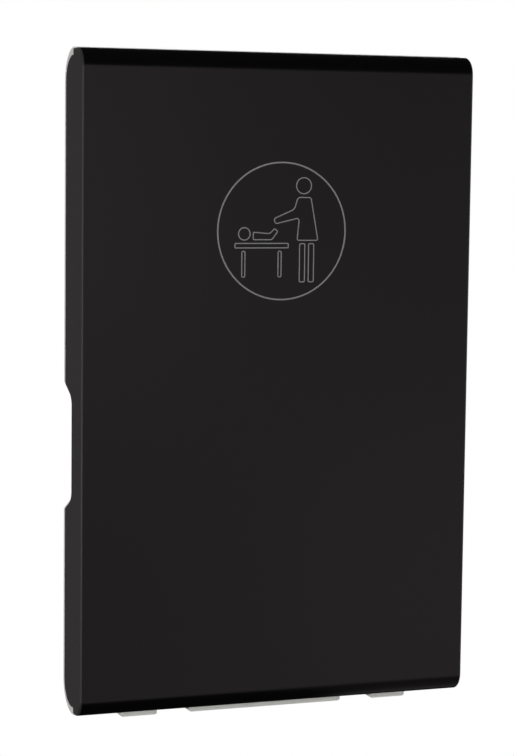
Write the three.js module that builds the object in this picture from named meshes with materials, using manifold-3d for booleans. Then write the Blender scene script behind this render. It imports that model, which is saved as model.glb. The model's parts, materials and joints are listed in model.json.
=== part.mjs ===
// Wall-hung upright baby changing station, shown closed. A folding bed with a black sheet-steel cover
// turns down on a hinge along its lower edge, carried by a moulded chassis on a steel wall plate.
// Millimetres, +X to the right, +Y into the wall, +Z up.
// The origin is on the wall face, at the middle of the cover's width and height.

import * as THREE from 'three';
import { mergeVertices } from 'three/addons/utils/BufferGeometryUtils.js';
import Module from 'manifold-3d';

const wasm = await Module();
wasm.setup();

// Clearances
const FIT = 0.4; // between pieces that are put together and stay put
const SEAT = 0.3; // between a piece and the face it rests on
const RUN = 0.3; // radial gap round a turning or sliding piece
const SWING = 1.2; // between pieces that swing past each other
const OVERCUT = 2; // how far a cutting tool runs past the face it opens
const WELD = 1e-3; // vertices closer than this are one

// Black sheet-steel cover of the bed
const COVER_WIDTH = 560;
const COVER_HEIGHT = 886;
const SHEET = 1;
const FLANGE_DEPTH = 74;
const END_BEND = 25; // outer radius where the front rolls into the top and bottom returns
const SIDE_BEND = 2.5; // outer radius where the front turns into the side flanges
const FLANGE_STEP = 9; // how far a flange end stands back from the cover's top and bottom
const FLANGE_CORNER = 33;
const GRIP_LENGTH = 169;
const GRIP_DEPTH = 30;
const GRIP_SLANT = 16; // how far each end of the finger notch leans outwards over its depth
const GRIP_CORNER = 18;
const GRIP_HEIGHT = 358; // middle of the finger notch above the cover's lower edge

// Moulded bed
const BED_DEPTH = 84;
const SHELL_PROUD = 1.8; // the moulding's ends stand this far past the cover's returns
const SKIRT = 4;
const FLOOR = 6;
const SIDE_RIM = 44;
const END_RIM = 48;
const TUB_DEPTH = 46;
const TUB_CORNER = 72;
const TUB_LIP = 6;
const TUB_DRAFT = 9;
const TUB_FILLET = 22;
const CORE_SKIN = 10; // moulding left behind the cores in the rim
const GRIP_REACH = 26; // depth of the finger pocket into the rim
const GRIP_LAND = 3.5; // how far the moulding shows inside the notch
const SADDLE_DEPTH = 1.5; // shallow moulded band across the floor that the strap lies in

// Wall side
const STATION_DEPTH = 120;
const BED_GAP = 3;
const CHASSIS_INSET = 26;
const CHASSIS_TOP_INSET = 22;
const CHASSIS_WALL = 3.5;
const CHASSIS_CORNER = 45;
const CHASSIS_EDGE = 5;
const CHASSIS_DRAFT = 2;
const WALL_PLATE = 2;
const WALL_PLATE_TOP_INSET = 86;
const WALL_PLATE_CORNER = 25;
const FIXING_INSET = 40; // wall-bolt holes inside the plate's side edges
const FIXING_LOW = 130;
const FIXING_TOP_INSET = 146;
const FIXING_HOLE = 9;
const FIXING_WELL = 22;
const FIXING_FLOOR = 4;
const FIXING_CAP = 4;
const FIXING_CAP_EDGE = 1;
const STIFF_RIB = 3;
const STIFF_RIB_DEPTH = 14;
const RIB_COUNT = 3;
const RIB_LOW = 270;
const RIB_TOP_INSET = 276;

// Hinge
const HINGE_SETBACK = 51; // axis behind the cover's front face
const HINGE_RISE = 1; // axis above the cover's lower edge
const SHAFT = 10;
const LUG_RADIUS = 12;
const LUG_FILLET = 4;
const LUG_ROUND = 3.5;
const LUG_INSET = 70; // outer faces of the lugs inside the cover's side edges
const LUG_WIDTH = 51;
const HINGE_GAP = 47.5; // between a lug and the foot, where the knuckle turns
const FOOT_CAP_WIDTH = 38;
const FOOT_CAP_HEIGHT = 13;
const FOOT_CAP_SINK = 1;
const FOOT_CAP_PROUD = 2.2;
const BUSH_WALL = 1.7;
const BUSH_FLANGE = 1;
const BUSH_FLANGE_RADIUS = 9.5;
const FOOT_BUSH = 10;
const CARTRIDGE = 18;
const CARTRIDGE_GAP = 16.2; // between a cartridge and the middle ear beside it
const CARTRIDGE_WALL = 2.2;
const PLUG = 4;
const EAR = 5;
const EAR_RADIUS = 9;
const EAR_GUSSET = 60;
const CENTRE_EAR = 14.5;
const KNUCKLE_RADIUS = 7.5;
const KNUCKLE_PLATE = 5;
const KNUCKLE_TOP = 78;
const STIFFENER = 1.5;
const STIFFENER_LOW = 38;
const STIFFENER_TOP_INSET = 34;

// Strap and buckle on the bed's floor
const STRAP_HEIGHT = 430;
const STRAP_WIDTH = 38;
const STRAP = 1.6;
const STRAP_SPARE = 3; // width left beside the strap in whatever it passes through
const STRAP_TAIL = 12; // strap past its anchor
const STRAP_GRIPPED = 9; // strap inside the buckle or the tongue
const STRAP_RAMP = 26;
const ANCHOR_INSET = 25.6; // middle of a strap anchor inside the edge of the tub's flat floor
const ANCHOR_LENGTH = 14;
const ANCHOR_FOOT = 13;
const ANCHOR = 2.6;
const BUCKLE_LENGTH = 54;
const BUCKLE_WIDTH = 48;
const BUCKLE_HEIGHT = 14;
const BUCKLE_CORNER = 7;
const TONGUE_BLADE = 28;
const TONGUE_INSERT = 18;
const TONGUE_HEAD = 20;
const TONGUE = 3;
const TONGUE_HEAD_HEIGHT = 8;
const BUTTON_LENGTH = 13;
const BUTTON_WIDTH = 26;
const BUTTON_CORNER = 3;
const BUTTON_PROUD = 1.5;
const BUTTON_TRAVEL = 3;
const BUTTON_HEIGHT = 4;

// Fittings on the chassis front
const POCKET_WIDTH = 262;
const POCKET_TOP_INSET = 104;
const POCKET_HEIGHT = 222;
const POCKET_DEPTH = 22;
const POCKET_WALL = 3;
const POCKET_CORNER = 10;
const THUMB_RADIUS = 38;
const LINER_TOP = 12; // how far the liners stand above the pocket's edge
const HOOK_INSET = 64;
const HOOK_TOP_INSET = 196;
const HOOK_BASE_WIDTH = 30;
const HOOK_BASE_HEIGHT = 62;
const HOOK_BASE = 4;
const HOOK_BASE_CORNER = 13;
const HOOK_WIDTH = 15;
const HOOK_REACH = 25;
const HOOK_RISE = 24;
const HOOK_BAR = 6;
const HOOK_BEND = 9;
const HOOK_DROP = 20; // the arm's underside below the base's middle
const BUMPER_RADIUS = 5;
const BUMPER_EDGE = 0.8;
const BUMPER_LOW = 110;
const BUMPER_TOP_INSET = 126;

// Smoothness of curves: segments in a quarter turn, and round a turned piece
const QUARTER = 8;
const TURN = 24;

// Values that follow from the sizes above
const skin = SHEET + FIT;
const coverTop = COVER_HEIGHT;
const topReturn = FLANGE_DEPTH - FLANGE_CORNER;
const hingeY = HINGE_SETBACK - STATION_DEPTH;
const shaftRadius = SHAFT / 2;
const bushRadius = shaftRadius + RUN + BUSH_WALL;
const cartridgeRadius = CARTRIDGE / 2;
const lugSweep = (LUG_RADIUS - LUG_FILLET) * Math.SQRT2 + LUG_FILLET;
const capSweep = Math.hypot(LUG_RADIUS + FOOT_CAP_PROUD, FOOT_CAP_HEIGHT / 2);
const grooveRadius = Math.max(lugSweep, capSweep) + SWING;
const bottomReturn = HINGE_SETBACK - grooveRadius - SKIRT / 2;
const bedCorner = BED_DEPTH - topReturn - FIT;
const shellHalf = COVER_WIDTH / 2 - skin;
const tubHalf = shellHalf - SIDE_RIM;
const floorHalf = tubHalf - TUB_LIP - TUB_DRAFT - TUB_FILLET;
const tubFloor = BED_DEPTH - TUB_DEPTH;
const hollowDepth = tubFloor - FLOOR;
const chassisDepth = STATION_DEPTH - BED_DEPTH - BED_GAP;
const chassisHalf = COVER_WIDTH / 2 - CHASSIS_INSET;
const chassisLow = HINGE_RISE - LUG_RADIUS + CHASSIS_DRAFT;
const chassisTop = coverTop - CHASSIS_TOP_INSET;
const chassisInner = CHASSIS_WALL - chassisDepth;
const lugOuter = COVER_WIDTH / 2 - LUG_INSET;
const lugCentre = lugOuter - LUG_WIDTH / 2;
const lugInner = lugOuter - LUG_WIDTH;
const footHalf = lugInner - HINGE_GAP;
const thrustGap = BUSH_FLANGE + 2 * RUN;
const knuckleInner = footHalf + thrustGap;
const knuckleOuter = lugInner - thrustGap;
const strapFloor = tubFloor - SADDLE_DEPTH + SEAT;
const slotHalf = (STRAP_WIDTH + STRAP_SPARE) / 2;
const gripLow = GRIP_HEIGHT - GRIP_LENGTH / 2;
const gripHigh = GRIP_HEIGHT + GRIP_LENGTH / 2;
const gripLean = Math.atan2(GRIP_SLANT, GRIP_DEPTH);
const stiffenerWeb = hollowDepth - FIT - STIFFENER;
const knuckleFace = stiffenerWeb - FIT;

const blackSteel = { color: 0x232221, roughness: 0.48, metalness: 0.35 };
const whiteMoulding = { color: 0xdfe0df, roughness: 0.5, metalness: 0 };
const zincSteel = { color: 0xa9adb0, roughness: 0.4, metalness: 0.9 };
const brightSteel = { color: 0xc4c7c9, roughness: 0.25, metalness: 1 };
const greyNylon = { color: 0x8f9294, roughness: 0.55, metalness: 0 };
const blackNylon = { color: 0x26272a, roughness: 0.6, metalness: 0 };
const greyWebbing = { color: 0x3b3e43, roughness: 0.85, metalness: 0 };
const redPlastic = { color: 0xb3261e, roughness: 0.4, metalness: 0 };
const blackRubber = { color: 0x1b1b1b, roughness: 0.9, metalness: 0 };
const paper = { color: 0xf4f3ee, roughness: 0.95, metalness: 0 };

// Solids from geometry, and booleans on them

function solid(geometry) {
  const bare = geometry.clone();
  bare.deleteAttribute('normal');
  bare.deleteAttribute('uv');
  const merged = mergeVertices(bare, WELD);
  const index = merged.index.array;
  const triangles = [];
  for (let i = 0; i < index.length; i += 3) {
    const [a, b, c] = index.subarray(i, i + 3);
    if (a !== b && b !== c && c !== a) triangles.push(a, b, c);
  }
  const mesh = new wasm.Mesh({
    numProp: 3,
    vertProperties: new Float32Array(merged.attributes.position.array),
    triVerts: new Uint32Array(triangles),
  });
  return new wasm.Manifold(mesh);
}

function surface(body) {
  const mesh = body.getMesh();
  const geometry = new THREE.BufferGeometry();
  geometry.setAttribute('position', new THREE.BufferAttribute(mesh.vertProperties, 3));
  geometry.setIndex(new THREE.BufferAttribute(mesh.triVerts, 1));
  geometry.computeVertexNormals();
  return geometry;
}

function join(...geometries) {
  return surface(geometries.map(solid).reduce((all, next) => all.add(next)));
}

function cut(base, ...tools) {
  return surface(tools.map(solid).reduce((rest, tool) => rest.subtract(tool), solid(base)));
}

function common(first, second) {
  return surface(solid(first).intersect(solid(second)));
}

// Extrusions along the three axes: a shape in (y, z), (x, z) or (x, y)

const alongX = new THREE.Matrix4().makeBasis(
  new THREE.Vector3(0, 1, 0), new THREE.Vector3(0, 0, 1), new THREE.Vector3(1, 0, 0));
const alongY = new THREE.Matrix4().makeBasis(
  new THREE.Vector3(1, 0, 0), new THREE.Vector3(0, 0, 1), new THREE.Vector3(0, -1, 0));

function extrude(shape, depth) {
  return new THREE.ExtrudeGeometry(shape, { depth, bevelEnabled: false, curveSegments: QUARTER / 2 });
}

function extrudeX(shape, low, high) {
  return extrude(shape, high - low).applyMatrix4(alongX).translate(low, 0, 0);
}

function extrudeY(shape, low, high) {
  return extrude(shape, high - low).applyMatrix4(alongY).translate(0, high, 0);
}

function extrudeZ(shape, low, high) {
  return extrude(shape, high - low).translate(0, 0, low);
}

function box(lowX, highX, lowY, highY, lowZ, highZ) {
  const geometry = new THREE.BoxGeometry(highX - lowX, highY - lowY, highZ - lowZ);
  return geometry.translate((lowX + highX) / 2, (lowY + highY) / 2, (lowZ + highZ) / 2);
}

function polygon(points) {
  return new THREE.Shape(points.map(([u, v]) => new THREE.Vector2(u, v)));
}

function roundedRectangle(lowU, highU, lowV, highV, radius) {
  const shape = new THREE.Shape();
  shape.absarc(highU - radius, lowV + radius, radius, -Math.PI / 2, 0, false);
  shape.absarc(highU - radius, highV - radius, radius, 0, Math.PI / 2, false);
  shape.absarc(lowU + radius, highV - radius, radius, Math.PI / 2, Math.PI, false);
  shape.absarc(lowU + radius, lowV + radius, radius, Math.PI, Math.PI * 1.5, false);
  return shape;
}

// A body turned about an axis along X, from closed [radius, x] pairs taken anticlockwise
function turned(profile) {
  const points = profile.map(([radius, x]) => new THREE.Vector2(radius, x));
  return new THREE.LatheGeometry(points, TURN).rotateZ(-Math.PI / 2);
}

function rod(radius, low, high) {
  return turned([[0, low], [radius, low], [radius, high], [0, high]]);
}

function sleeve(inner, outer, low, high) {
  return turned([[inner, low], [outer, low], [outer, high], [inner, high], [inner, low]]);
}

// A round button turned about an axis along Y, with its chamfered end towards the room
function chamferedButton(radius, height, edge) {
  const profile = [[0, 0], [radius, 0], [radius, height - edge], [radius - edge, height], [0, height]];
  return turned(profile).rotateZ(-Math.PI / 2);
}

// A pan: rounded rectangles stacked from startY towards the room, each [depth, inset] pair one ring
function pan(half, low, high, corner, startY, profile) {
  const rings = profile.map(([depth, inset]) => ring(half - inset, low + inset, high - inset,
    Math.max(corner - inset, 1), startY - depth));
  const count = rings[0].length;
  const triangles = [];
  for (let r = 0; r + 1 < rings.length; r += 1) {
    for (let i = 0; i < count; i += 1) {
      const next = (i + 1) % count;
      triangles.push(rings[r][i], rings[r][next], rings[r + 1][next]);
      triangles.push(rings[r][i], rings[r + 1][next], rings[r + 1][i]);
    }
  }
  const last = rings.at(-1);
  for (let i = 1; i + 1 < count; i += 1) {
    triangles.push(rings[0][0], rings[0][i + 1], rings[0][i]);
    triangles.push(last[0], last[i], last[i + 1]);
  }
  const geometry = new THREE.BufferGeometry().setFromPoints(triangles);
  return mergeVertices(geometry, WELD);
}

function ring(half, low, high, radius, y) {
  const corners = [
    [half - radius, low + radius, -Math.PI / 2],
    [half - radius, high - radius, 0],
    [radius - half, high - radius, Math.PI / 2],
    [radius - half, low + radius, Math.PI],
  ];
  return corners.flatMap(([x, z, start]) => Array.from({ length: QUARTER + 1 }, (_, i) => {
    const angle = start + (i / QUARTER) * (Math.PI / 2);
    return new THREE.Vector3(x + radius * Math.cos(angle), y, z + radius * Math.sin(angle));
  }));
}

// [depth, inset] pairs of a quarter round, either the lip it starts with or the fillet it ends in
function lip(radius) {
  return Array.from({ length: QUARTER + 1 }, (_, i) => {
    const angle = (i / QUARTER) * (Math.PI / 2);
    return [radius * (1 - Math.cos(angle)), radius * Math.sin(angle)];
  });
}

function fillet(radius, depth, inset) {
  return Array.from({ length: QUARTER + 1 }, (_, i) => {
    const angle = (i / QUARTER) * (Math.PI / 2);
    return [depth - radius * (1 - Math.sin(angle)), inset + radius * (1 - Math.cos(angle))];
  });
}

const station = new THREE.Group();
const wallSide = new THREE.Group();
const bed = new THREE.Group();
const bedParts = new THREE.Group();

// Heights inside the groups count from the cover's lower edge. The bed group turns about the hinge,
// and depths on the bed count from the cover's front face.
station.position.z = -COVER_HEIGHT / 2;
bed.position.set(0, hingeY, HINGE_RISE);
bedParts.position.set(0, -HINGE_SETBACK, -HINGE_RISE);
station.add(wallSide, bed);
bed.add(bedParts);

function place(group, name, geometry, finish) {
  const mesh = new THREE.Mesh(geometry, new THREE.MeshStandardMaterial(finish));
  mesh.name = name;
  group.add(mesh);
  return mesh;
}

const sides = [['left', -1], ['right', 1]];

// Span between two distances from the middle, on one side
function span(side, inner, outer) {
  return side > 0 ? [inner, outer] : [-outer, -inner];
}

// Front cover

// The finger notch's edge, from a rear line inwards, with leaning ends and rounded inner corners
function gripPath(shape, rear, inset) {
  const radius = GRIP_CORNER - inset;
  const floor = FLANGE_DEPTH - GRIP_DEPTH + inset;
  const spread = (rear - FLANGE_DEPTH) * Math.tan(gripLean) - inset / Math.cos(gripLean);
  const rise = (rear - floor) * Math.tan(gripLean) + radius * Math.tan(Math.PI / 4 - gripLean / 2);
  const high = gripHigh + spread;
  const low = gripLow - spread;
  shape.lineTo(rear, high);
  shape.absarc(floor + radius, high - rise, radius, Math.PI / 2 + gripLean, Math.PI, false);
  shape.absarc(floor + radius, low + rise, radius, Math.PI, Math.PI * 1.5 - gripLean, false);
  shape.lineTo(rear, low);
}

function flangeOutline() {
  const shape = new THREE.Shape();
  const cornerY = FLANGE_DEPTH - FLANGE_CORNER;
  const cornerZ = FLANGE_STEP + FLANGE_CORNER;
  shape.moveTo(0, END_BEND);
  shape.absarc(END_BEND, coverTop - END_BEND, END_BEND, Math.PI, Math.PI / 2, true);
  shape.lineTo(topReturn, coverTop);
  shape.lineTo(topReturn, coverTop - FLANGE_STEP);
  shape.absarc(cornerY, coverTop - cornerZ, FLANGE_CORNER, Math.PI / 2, 0, true);
  gripPath(shape, FLANGE_DEPTH, 0);
  shape.absarc(cornerY, cornerZ, FLANGE_CORNER, 0, -Math.PI / 2, true);
  shape.lineTo(bottomReturn, FLANGE_STEP);
  shape.lineTo(bottomReturn, 0);
  shape.absarc(END_BEND, END_BEND, END_BEND, -Math.PI / 2, -Math.PI, true);
  return shape;
}

function coverInside() {
  const shape = new THREE.Shape();
  const bend = END_BEND - SHEET;
  shape.moveTo(SHEET, END_BEND);
  shape.absarc(END_BEND, coverTop - END_BEND, bend, Math.PI, Math.PI / 2, true);
  shape.lineTo(topReturn, coverTop - SHEET);
  shape.lineTo(topReturn, coverTop + OVERCUT);
  shape.lineTo(FLANGE_DEPTH + OVERCUT, coverTop + OVERCUT);
  shape.lineTo(FLANGE_DEPTH + OVERCUT, -OVERCUT);
  shape.lineTo(bottomReturn, -OVERCUT);
  shape.lineTo(bottomReturn, SHEET);
  shape.absarc(END_BEND, END_BEND, bend, -Math.PI / 2, -Math.PI, true);
  return shape;
}

// The plan of the cover, of its inside and of the moulding in it, with the side bends at the front
function coverPlan(inset) {
  const half = COVER_WIDTH / 2 - inset;
  const bend = Math.max(SIDE_BEND - inset, FIT);
  const rear = BED_DEPTH + OVERCUT;
  const shape = new THREE.Shape();
  shape.moveTo(-half, rear);
  shape.lineTo(-half, inset + bend);
  shape.absarc(bend - half, inset + bend, bend, Math.PI, Math.PI * 1.5, false);
  shape.absarc(half - bend, inset + bend, bend, -Math.PI / 2, 0, false);
  shape.lineTo(half, rear);
  return shape;
}

// A side outline across the whole width, trimmed to the plan
function acrossPlan(outline, inset) {
  const half = COVER_WIDTH / 2;
  const plan = extrudeZ(coverPlan(inset), -OVERCUT * 2, coverTop + OVERCUT * 2);
  return common(extrudeX(outline, -half, half), plan);
}

function frontCover() {
  return cut(acrossPlan(flangeOutline(), 0), acrossPlan(coverInside(), SHEET));
}

place(bedParts, 'front_cover', frontCover(), blackSteel);

// Moulded bed shell

function shellOutline() {
  const bend = END_BEND - skin;
  const cornerY = BED_DEPTH - bedCorner;
  const low = -SHELL_PROUD;
  const high = coverTop + SHELL_PROUD;
  const shape = new THREE.Shape();
  shape.moveTo(skin, END_BEND);
  shape.absarc(END_BEND, coverTop - END_BEND, bend, Math.PI, Math.PI / 2, true);
  shape.lineTo(topReturn + FIT, coverTop - skin);
  shape.lineTo(topReturn + FIT, high);
  shape.absarc(cornerY, high - bedCorner, bedCorner, Math.PI / 2, 0, true);
  shape.absarc(cornerY, low + bedCorner, bedCorner, 0, -Math.PI / 2, true);
  shape.lineTo(bottomReturn + FIT, low);
  shape.lineTo(bottomReturn + FIT, skin);
  shape.absarc(END_BEND, END_BEND, bend, -Math.PI / 2, -Math.PI, true);
  return shape;
}

// The room between the cover and the tub, with the moulding's skirt left round it
function shellHollow() {
  const bend = END_BEND - skin - SKIRT;
  const shape = new THREE.Shape();
  shape.moveTo(0, END_BEND);
  shape.lineTo(0, coverTop - END_BEND);
  shape.absarc(END_BEND, coverTop - END_BEND, bend, Math.PI, Math.PI / 2, true);
  shape.lineTo(hollowDepth, coverTop - skin - SKIRT);
  shape.lineTo(hollowDepth, skin + SKIRT);
  shape.absarc(END_BEND, END_BEND, bend, -Math.PI / 2, -Math.PI, true);
  shape.lineTo(0, END_BEND);
  return extrudeX(shape, SKIRT - shellHalf, shellHalf - SKIRT);
}

function tub() {
  const wall = TUB_LIP + TUB_DRAFT;
  const profile = [[-OVERCUT, 0], ...lip(TUB_LIP), ...fillet(TUB_FILLET, TUB_DEPTH, wall)];
  return pan(tubHalf, END_RIM, coverTop - END_RIM, TUB_CORNER, BED_DEPTH, profile);
}

// The strap's saddle is a shallow moulded band across the tub's floor
function strapSaddle() {
  const rise = slotHalf + ANCHOR_FOOT + STRAP_SPARE;
  return box(-floorHalf, floorHalf, tubFloor - SADDLE_DEPTH, tubFloor + OVERCUT,
    STRAP_HEIGHT - rise, STRAP_HEIGHT + rise);
}

function gripPocket(side) {
  const rear = BED_DEPTH + OVERCUT;
  const shape = new THREE.Shape();
  shape.moveTo(rear, GRIP_HEIGHT);
  gripPath(shape, rear, GRIP_LAND);
  return extrudeX(shape, ...span(side, shellHalf - GRIP_REACH, shellHalf + OVERCUT));
}

// The groove along the lower edge that the hinge lugs turn in
function hingeGroove() {
  const half = lugOuter + SWING;
  const round = rod(grooveRadius, -half, half).translate(0, HINGE_SETBACK, HINGE_RISE);
  const behind = box(-half, half, HINGE_SETBACK, BED_DEPTH + OVERCUT,
    -SHELL_PROUD - OVERCUT, HINGE_RISE + LUG_RADIUS + SWING);
  return join(round, behind);
}

// The opening that lets a hinge knuckle through the lower rim into the hollow
function knuckleSlot(side) {
  const shape = polygon([
    [hollowDepth - OVERCUT, skin + SKIRT],
    [hollowDepth - OVERCUT, STIFFENER_LOW - SWING],
    [HINGE_SETBACK, HINGE_RISE + KNUCKLE_RADIUS + SWING],
    [HINGE_SETBACK, HINGE_RISE - KNUCKLE_RADIUS],
    [HINGE_SETBACK - KNUCKLE_RADIUS, HINGE_RISE - KNUCKLE_RADIUS],
  ]);
  return extrudeX(shape, ...span(side, knuckleInner - FIT, knuckleOuter + FIT));
}

// Cores moulded out of the top and side rims from the front, clear of the finger pockets
function rimCores() {
  const front = hollowDepth - OVERCUT;
  const low = END_RIM;
  const high = coverTop - END_RIM;
  const runs = [[low, gripLow - SKIRT], [gripHigh + SKIRT, high]];
  const beside = sides.flatMap(([, side]) => runs.map(([from, to]) => box(
    ...span(side, tubHalf + SKIRT, shellHalf - SKIRT), front, BED_DEPTH - CORE_SKIN, from, to)));
  const above = box(-tubHalf, tubHalf, front, BED_DEPTH - bedCorner / 2,
    high + SKIRT, coverTop - FLANGE_STEP - SKIRT);
  return [...beside, above];
}

function bedShell() {
  const tools = [shellHollow(), tub(), strapSaddle(), hingeGroove(), ...rimCores()];
  for (const [, side] of sides) tools.push(gripPocket(side), knuckleSlot(side));
  return cut(acrossPlan(shellOutline(), skin), ...tools);
}

place(bedParts, 'bed_shell', bedShell(), whiteMoulding);

// Steel that carries the bed: a channel and a hinge knuckle on each side, and the shaft

function stiffener(side) {
  const [low, high] = span(side, knuckleInner - FIT - STIFFENER, knuckleOuter + FIT + STIFFENER);
  const front = skin + SEAT;
  const rear = hollowDepth - FIT;
  const shape = polygon([
    [low, front], [low + STIFFENER, front], [low + STIFFENER, rear - STIFFENER],
    [high - STIFFENER, rear - STIFFENER], [high - STIFFENER, front], [high, front],
    [high, rear], [low, rear],
  ]);
  return extrudeZ(shape, STIFFENER_LOW, coverTop - STIFFENER_TOP_INSET);
}

function bedKnuckle(side) {
  const [low, high] = span(side, knuckleInner, knuckleOuter);
  const arm = polygon([
    [HINGE_SETBACK, HINGE_RISE + KNUCKLE_RADIUS - FIT],
    [knuckleFace, STIFFENER_LOW - KNUCKLE_RADIUS],
    [knuckleFace, KNUCKLE_TOP],
    [knuckleFace - KNUCKLE_PLATE, KNUCKLE_TOP],
    [knuckleFace - KNUCKLE_PLATE, STIFFENER_LOW - KNUCKLE_RADIUS - KNUCKLE_PLATE],
    [HINGE_SETBACK - KNUCKLE_PLATE, HINGE_RISE - KNUCKLE_PLATE],
  ]);
  const barrel = rod(KNUCKLE_RADIUS, low, high).translate(0, HINGE_SETBACK, HINGE_RISE);
  const bore = rod(shaftRadius + SEAT, low - OVERCUT, high + OVERCUT);
  return cut(join(extrudeX(arm, low, high), barrel), bore.translate(0, HINGE_SETBACK, HINGE_RISE));
}

const shaftEnd = lugOuter - PLUG - SEAT;
const cartridgeOuter = footHalf - FOOT_BUSH - SEAT;
const cartridgeInner = CENTRE_EAR + EAR / 2 + CARTRIDGE_GAP;
const hubRadius = cartridgeRadius - CARTRIDGE_WALL - RUN;

for (const [word, side] of sides) {
  place(bedParts, `stiffener_${word}`, stiffener(side), zincSteel);
  place(bedParts, `bed_knuckle_${word}`, bedKnuckle(side), zincSteel);
  const hub = sleeve(shaftRadius + SEAT, hubRadius, ...span(side, cartridgeInner, cartridgeOuter));
  place(bed, `cartridge_hub_${word}`, hub, greyNylon);
}

place(bed, 'hinge_shaft', rod(shaftRadius, -shaftEnd, shaftEnd), brightSteel);

// Hinge pieces held by the chassis

// A bush or a plug with a wider end, made for the right side and turned round for the left
function bush(outer, inner, faceX, length) {
  return turned([
    [inner, -BUSH_FLANGE], [BUSH_FLANGE_RADIUS, -BUSH_FLANGE], [BUSH_FLANGE_RADIUS, 0],
    [outer, 0], [outer, length], [inner, length], [inner, -BUSH_FLANGE],
  ]).translate(faceX, 0, 0);
}

function lugBush() {
  return bush(bushRadius, shaftRadius + RUN, lugInner - SEAT, LUG_WIDTH - PLUG - SEAT);
}

function footBush() {
  const flangeOut = bush(cartridgeRadius, shaftRadius + RUN, 0, FOOT_BUSH);
  return flangeOut.rotateZ(Math.PI).translate(footHalf + SEAT, 0, 0);
}

function shaftPlug() {
  const low = lugOuter - PLUG;
  return turned([[0, low], [bushRadius, low], [bushRadius, lugOuter], [0, lugOuter]]);
}

function cartridge() {
  return sleeve(hubRadius + RUN, cartridgeRadius, cartridgeInner, cartridgeOuter);
}

const hingeLine = new THREE.Group();
hingeLine.position.set(0, hingeY, HINGE_RISE);
wallSide.add(hingeLine);

for (const [word, side] of sides) {
  const turn = side > 0 ? 0 : Math.PI;
  const pieces = [
    [`lug_bush_${word}`, lugBush(), greyNylon],
    [`foot_bush_${word}`, footBush(), greyNylon],
    [`shaft_plug_${word}`, shaftPlug(), whiteMoulding],
    [`hinge_cartridge_${word}`, cartridge(), zincSteel],
  ];
  for (const [name, geometry, finish] of pieces) {
    place(hingeLine, name, geometry, finish).rotation.z = turn;
  }
}

// Steel wall plate with four hinge ears

const earPlaces = [-lugCentre, -CENTRE_EAR, CENTRE_EAR, lugCentre];

function ear(x) {
  const gussetFoot = chassisInner + FIT;
  const shape = new THREE.Shape();
  shape.moveTo(0, HINGE_RISE - EAR_RADIUS);
  shape.lineTo(0, HINGE_RISE + EAR_GUSSET);
  shape.lineTo(-WALL_PLATE, HINGE_RISE + EAR_GUSSET);
  shape.lineTo(gussetFoot, HINGE_RISE + EAR_RADIUS);
  shape.absarc(hingeY, HINGE_RISE, EAR_RADIUS, Math.PI / 2, Math.PI * 1.5, false);
  return extrudeX(shape, x - EAR / 2, x + EAR / 2);
}

function fixings() {
  const half = lugOuter - FIXING_INSET;
  const high = coverTop - FIXING_TOP_INSET;
  return [-half, half].flatMap((x) => [FIXING_LOW, high].map((z) => [x, z]));
}

function hole(radius, x, z, low, high) {
  return rod(radius, low, high).rotateZ(Math.PI / 2).translate(x, 0, z);
}

// The plate is as wide as the hinge lugs reach
function wallPlate() {
  const low = chassisLow + CHASSIS_WALL + CHASSIS_DRAFT;
  const top = coverTop - WALL_PLATE_TOP_INSET;
  const outline = roundedRectangle(-lugOuter, lugOuter, low, top, WALL_PLATE_CORNER);
  const ears = earPlaces.map(ear);
  const bores = earPlaces.map((x) => {
    const radius = Math.abs(x) > footHalf ? bushRadius + SEAT : shaftRadius + RUN;
    return rod(radius, x - EAR, x + EAR).translate(0, hingeY, HINGE_RISE);
  });
  const holes = fixings().map(([x, z]) => hole(FIXING_HOLE / 2, x, z, -EAR, EAR));
  return cut(join(extrudeY(outline, -WALL_PLATE, 0), ...ears), ...bores, ...holes);
}

place(wallSide, 'wall_plate', wallPlate(), zincSteel);

// Moulded chassis with its hinge lugs and foot

function lugOutline() {
  const bottom = HINGE_RISE - LUG_RADIUS;
  const rear = -WALL_PLATE - SEAT;
  const front = hingeY - LUG_RADIUS;
  const shape = new THREE.Shape();
  shape.moveTo(rear, bottom);
  shape.lineTo(rear, HINGE_RISE + LUG_RADIUS);
  shape.absarc(hingeY, HINGE_RISE, LUG_RADIUS, Math.PI / 2, Math.PI, false);
  shape.absarc(front + LUG_FILLET, bottom + LUG_FILLET, LUG_FILLET, Math.PI, Math.PI * 1.5, false);
  return shape;
}

function hingeBlock(centre, width) {
  const low = centre - width / 2;
  const high = centre + width / 2;
  const bottom = HINGE_RISE - LUG_RADIUS;
  const top = HINGE_RISE + LUG_RADIUS + LUG_ROUND;
  const face = roundedRectangle(low, high, bottom, top, LUG_ROUND);
  const front = hingeY - LUG_RADIUS - OVERCUT;
  return common(extrudeX(lugOutline(), low, high), extrudeY(face, front, 0));
}

function earSlot(x) {
  const low = x - EAR / 2 - FIT;
  const high = x + EAR / 2 + FIT;
  const reach = EAR_RADIUS + FIT;
  const nose = rod(reach, low, high).translate(0, hingeY, HINGE_RISE);
  const arm = box(low, high, hingeY, OVERCUT, HINGE_RISE - reach, HINGE_RISE + reach);
  const gusset = box(low, high, chassisInner, OVERCUT, HINGE_RISE, HINGE_RISE + LUG_RADIUS + OVERCUT);
  return join(nose, arm, gusset);
}

function chassisBody(inset) {
  const edge = CHASSIS_EDGE - inset;
  const depth = chassisDepth - inset;
  const start = inset ? -OVERCUT : 0;
  const profile = [[start, inset], ...fillet(edge, depth, inset + CHASSIS_DRAFT)];
  return pan(chassisHalf, chassisLow, chassisTop, CHASSIS_CORNER, 0, profile);
}

function fixingBoss([x, z]) {
  return hole(FIXING_WELL / 2 + CHASSIS_WALL, x, z, chassisInner - SEAT, -WALL_PLATE - SEAT);
}

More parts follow.
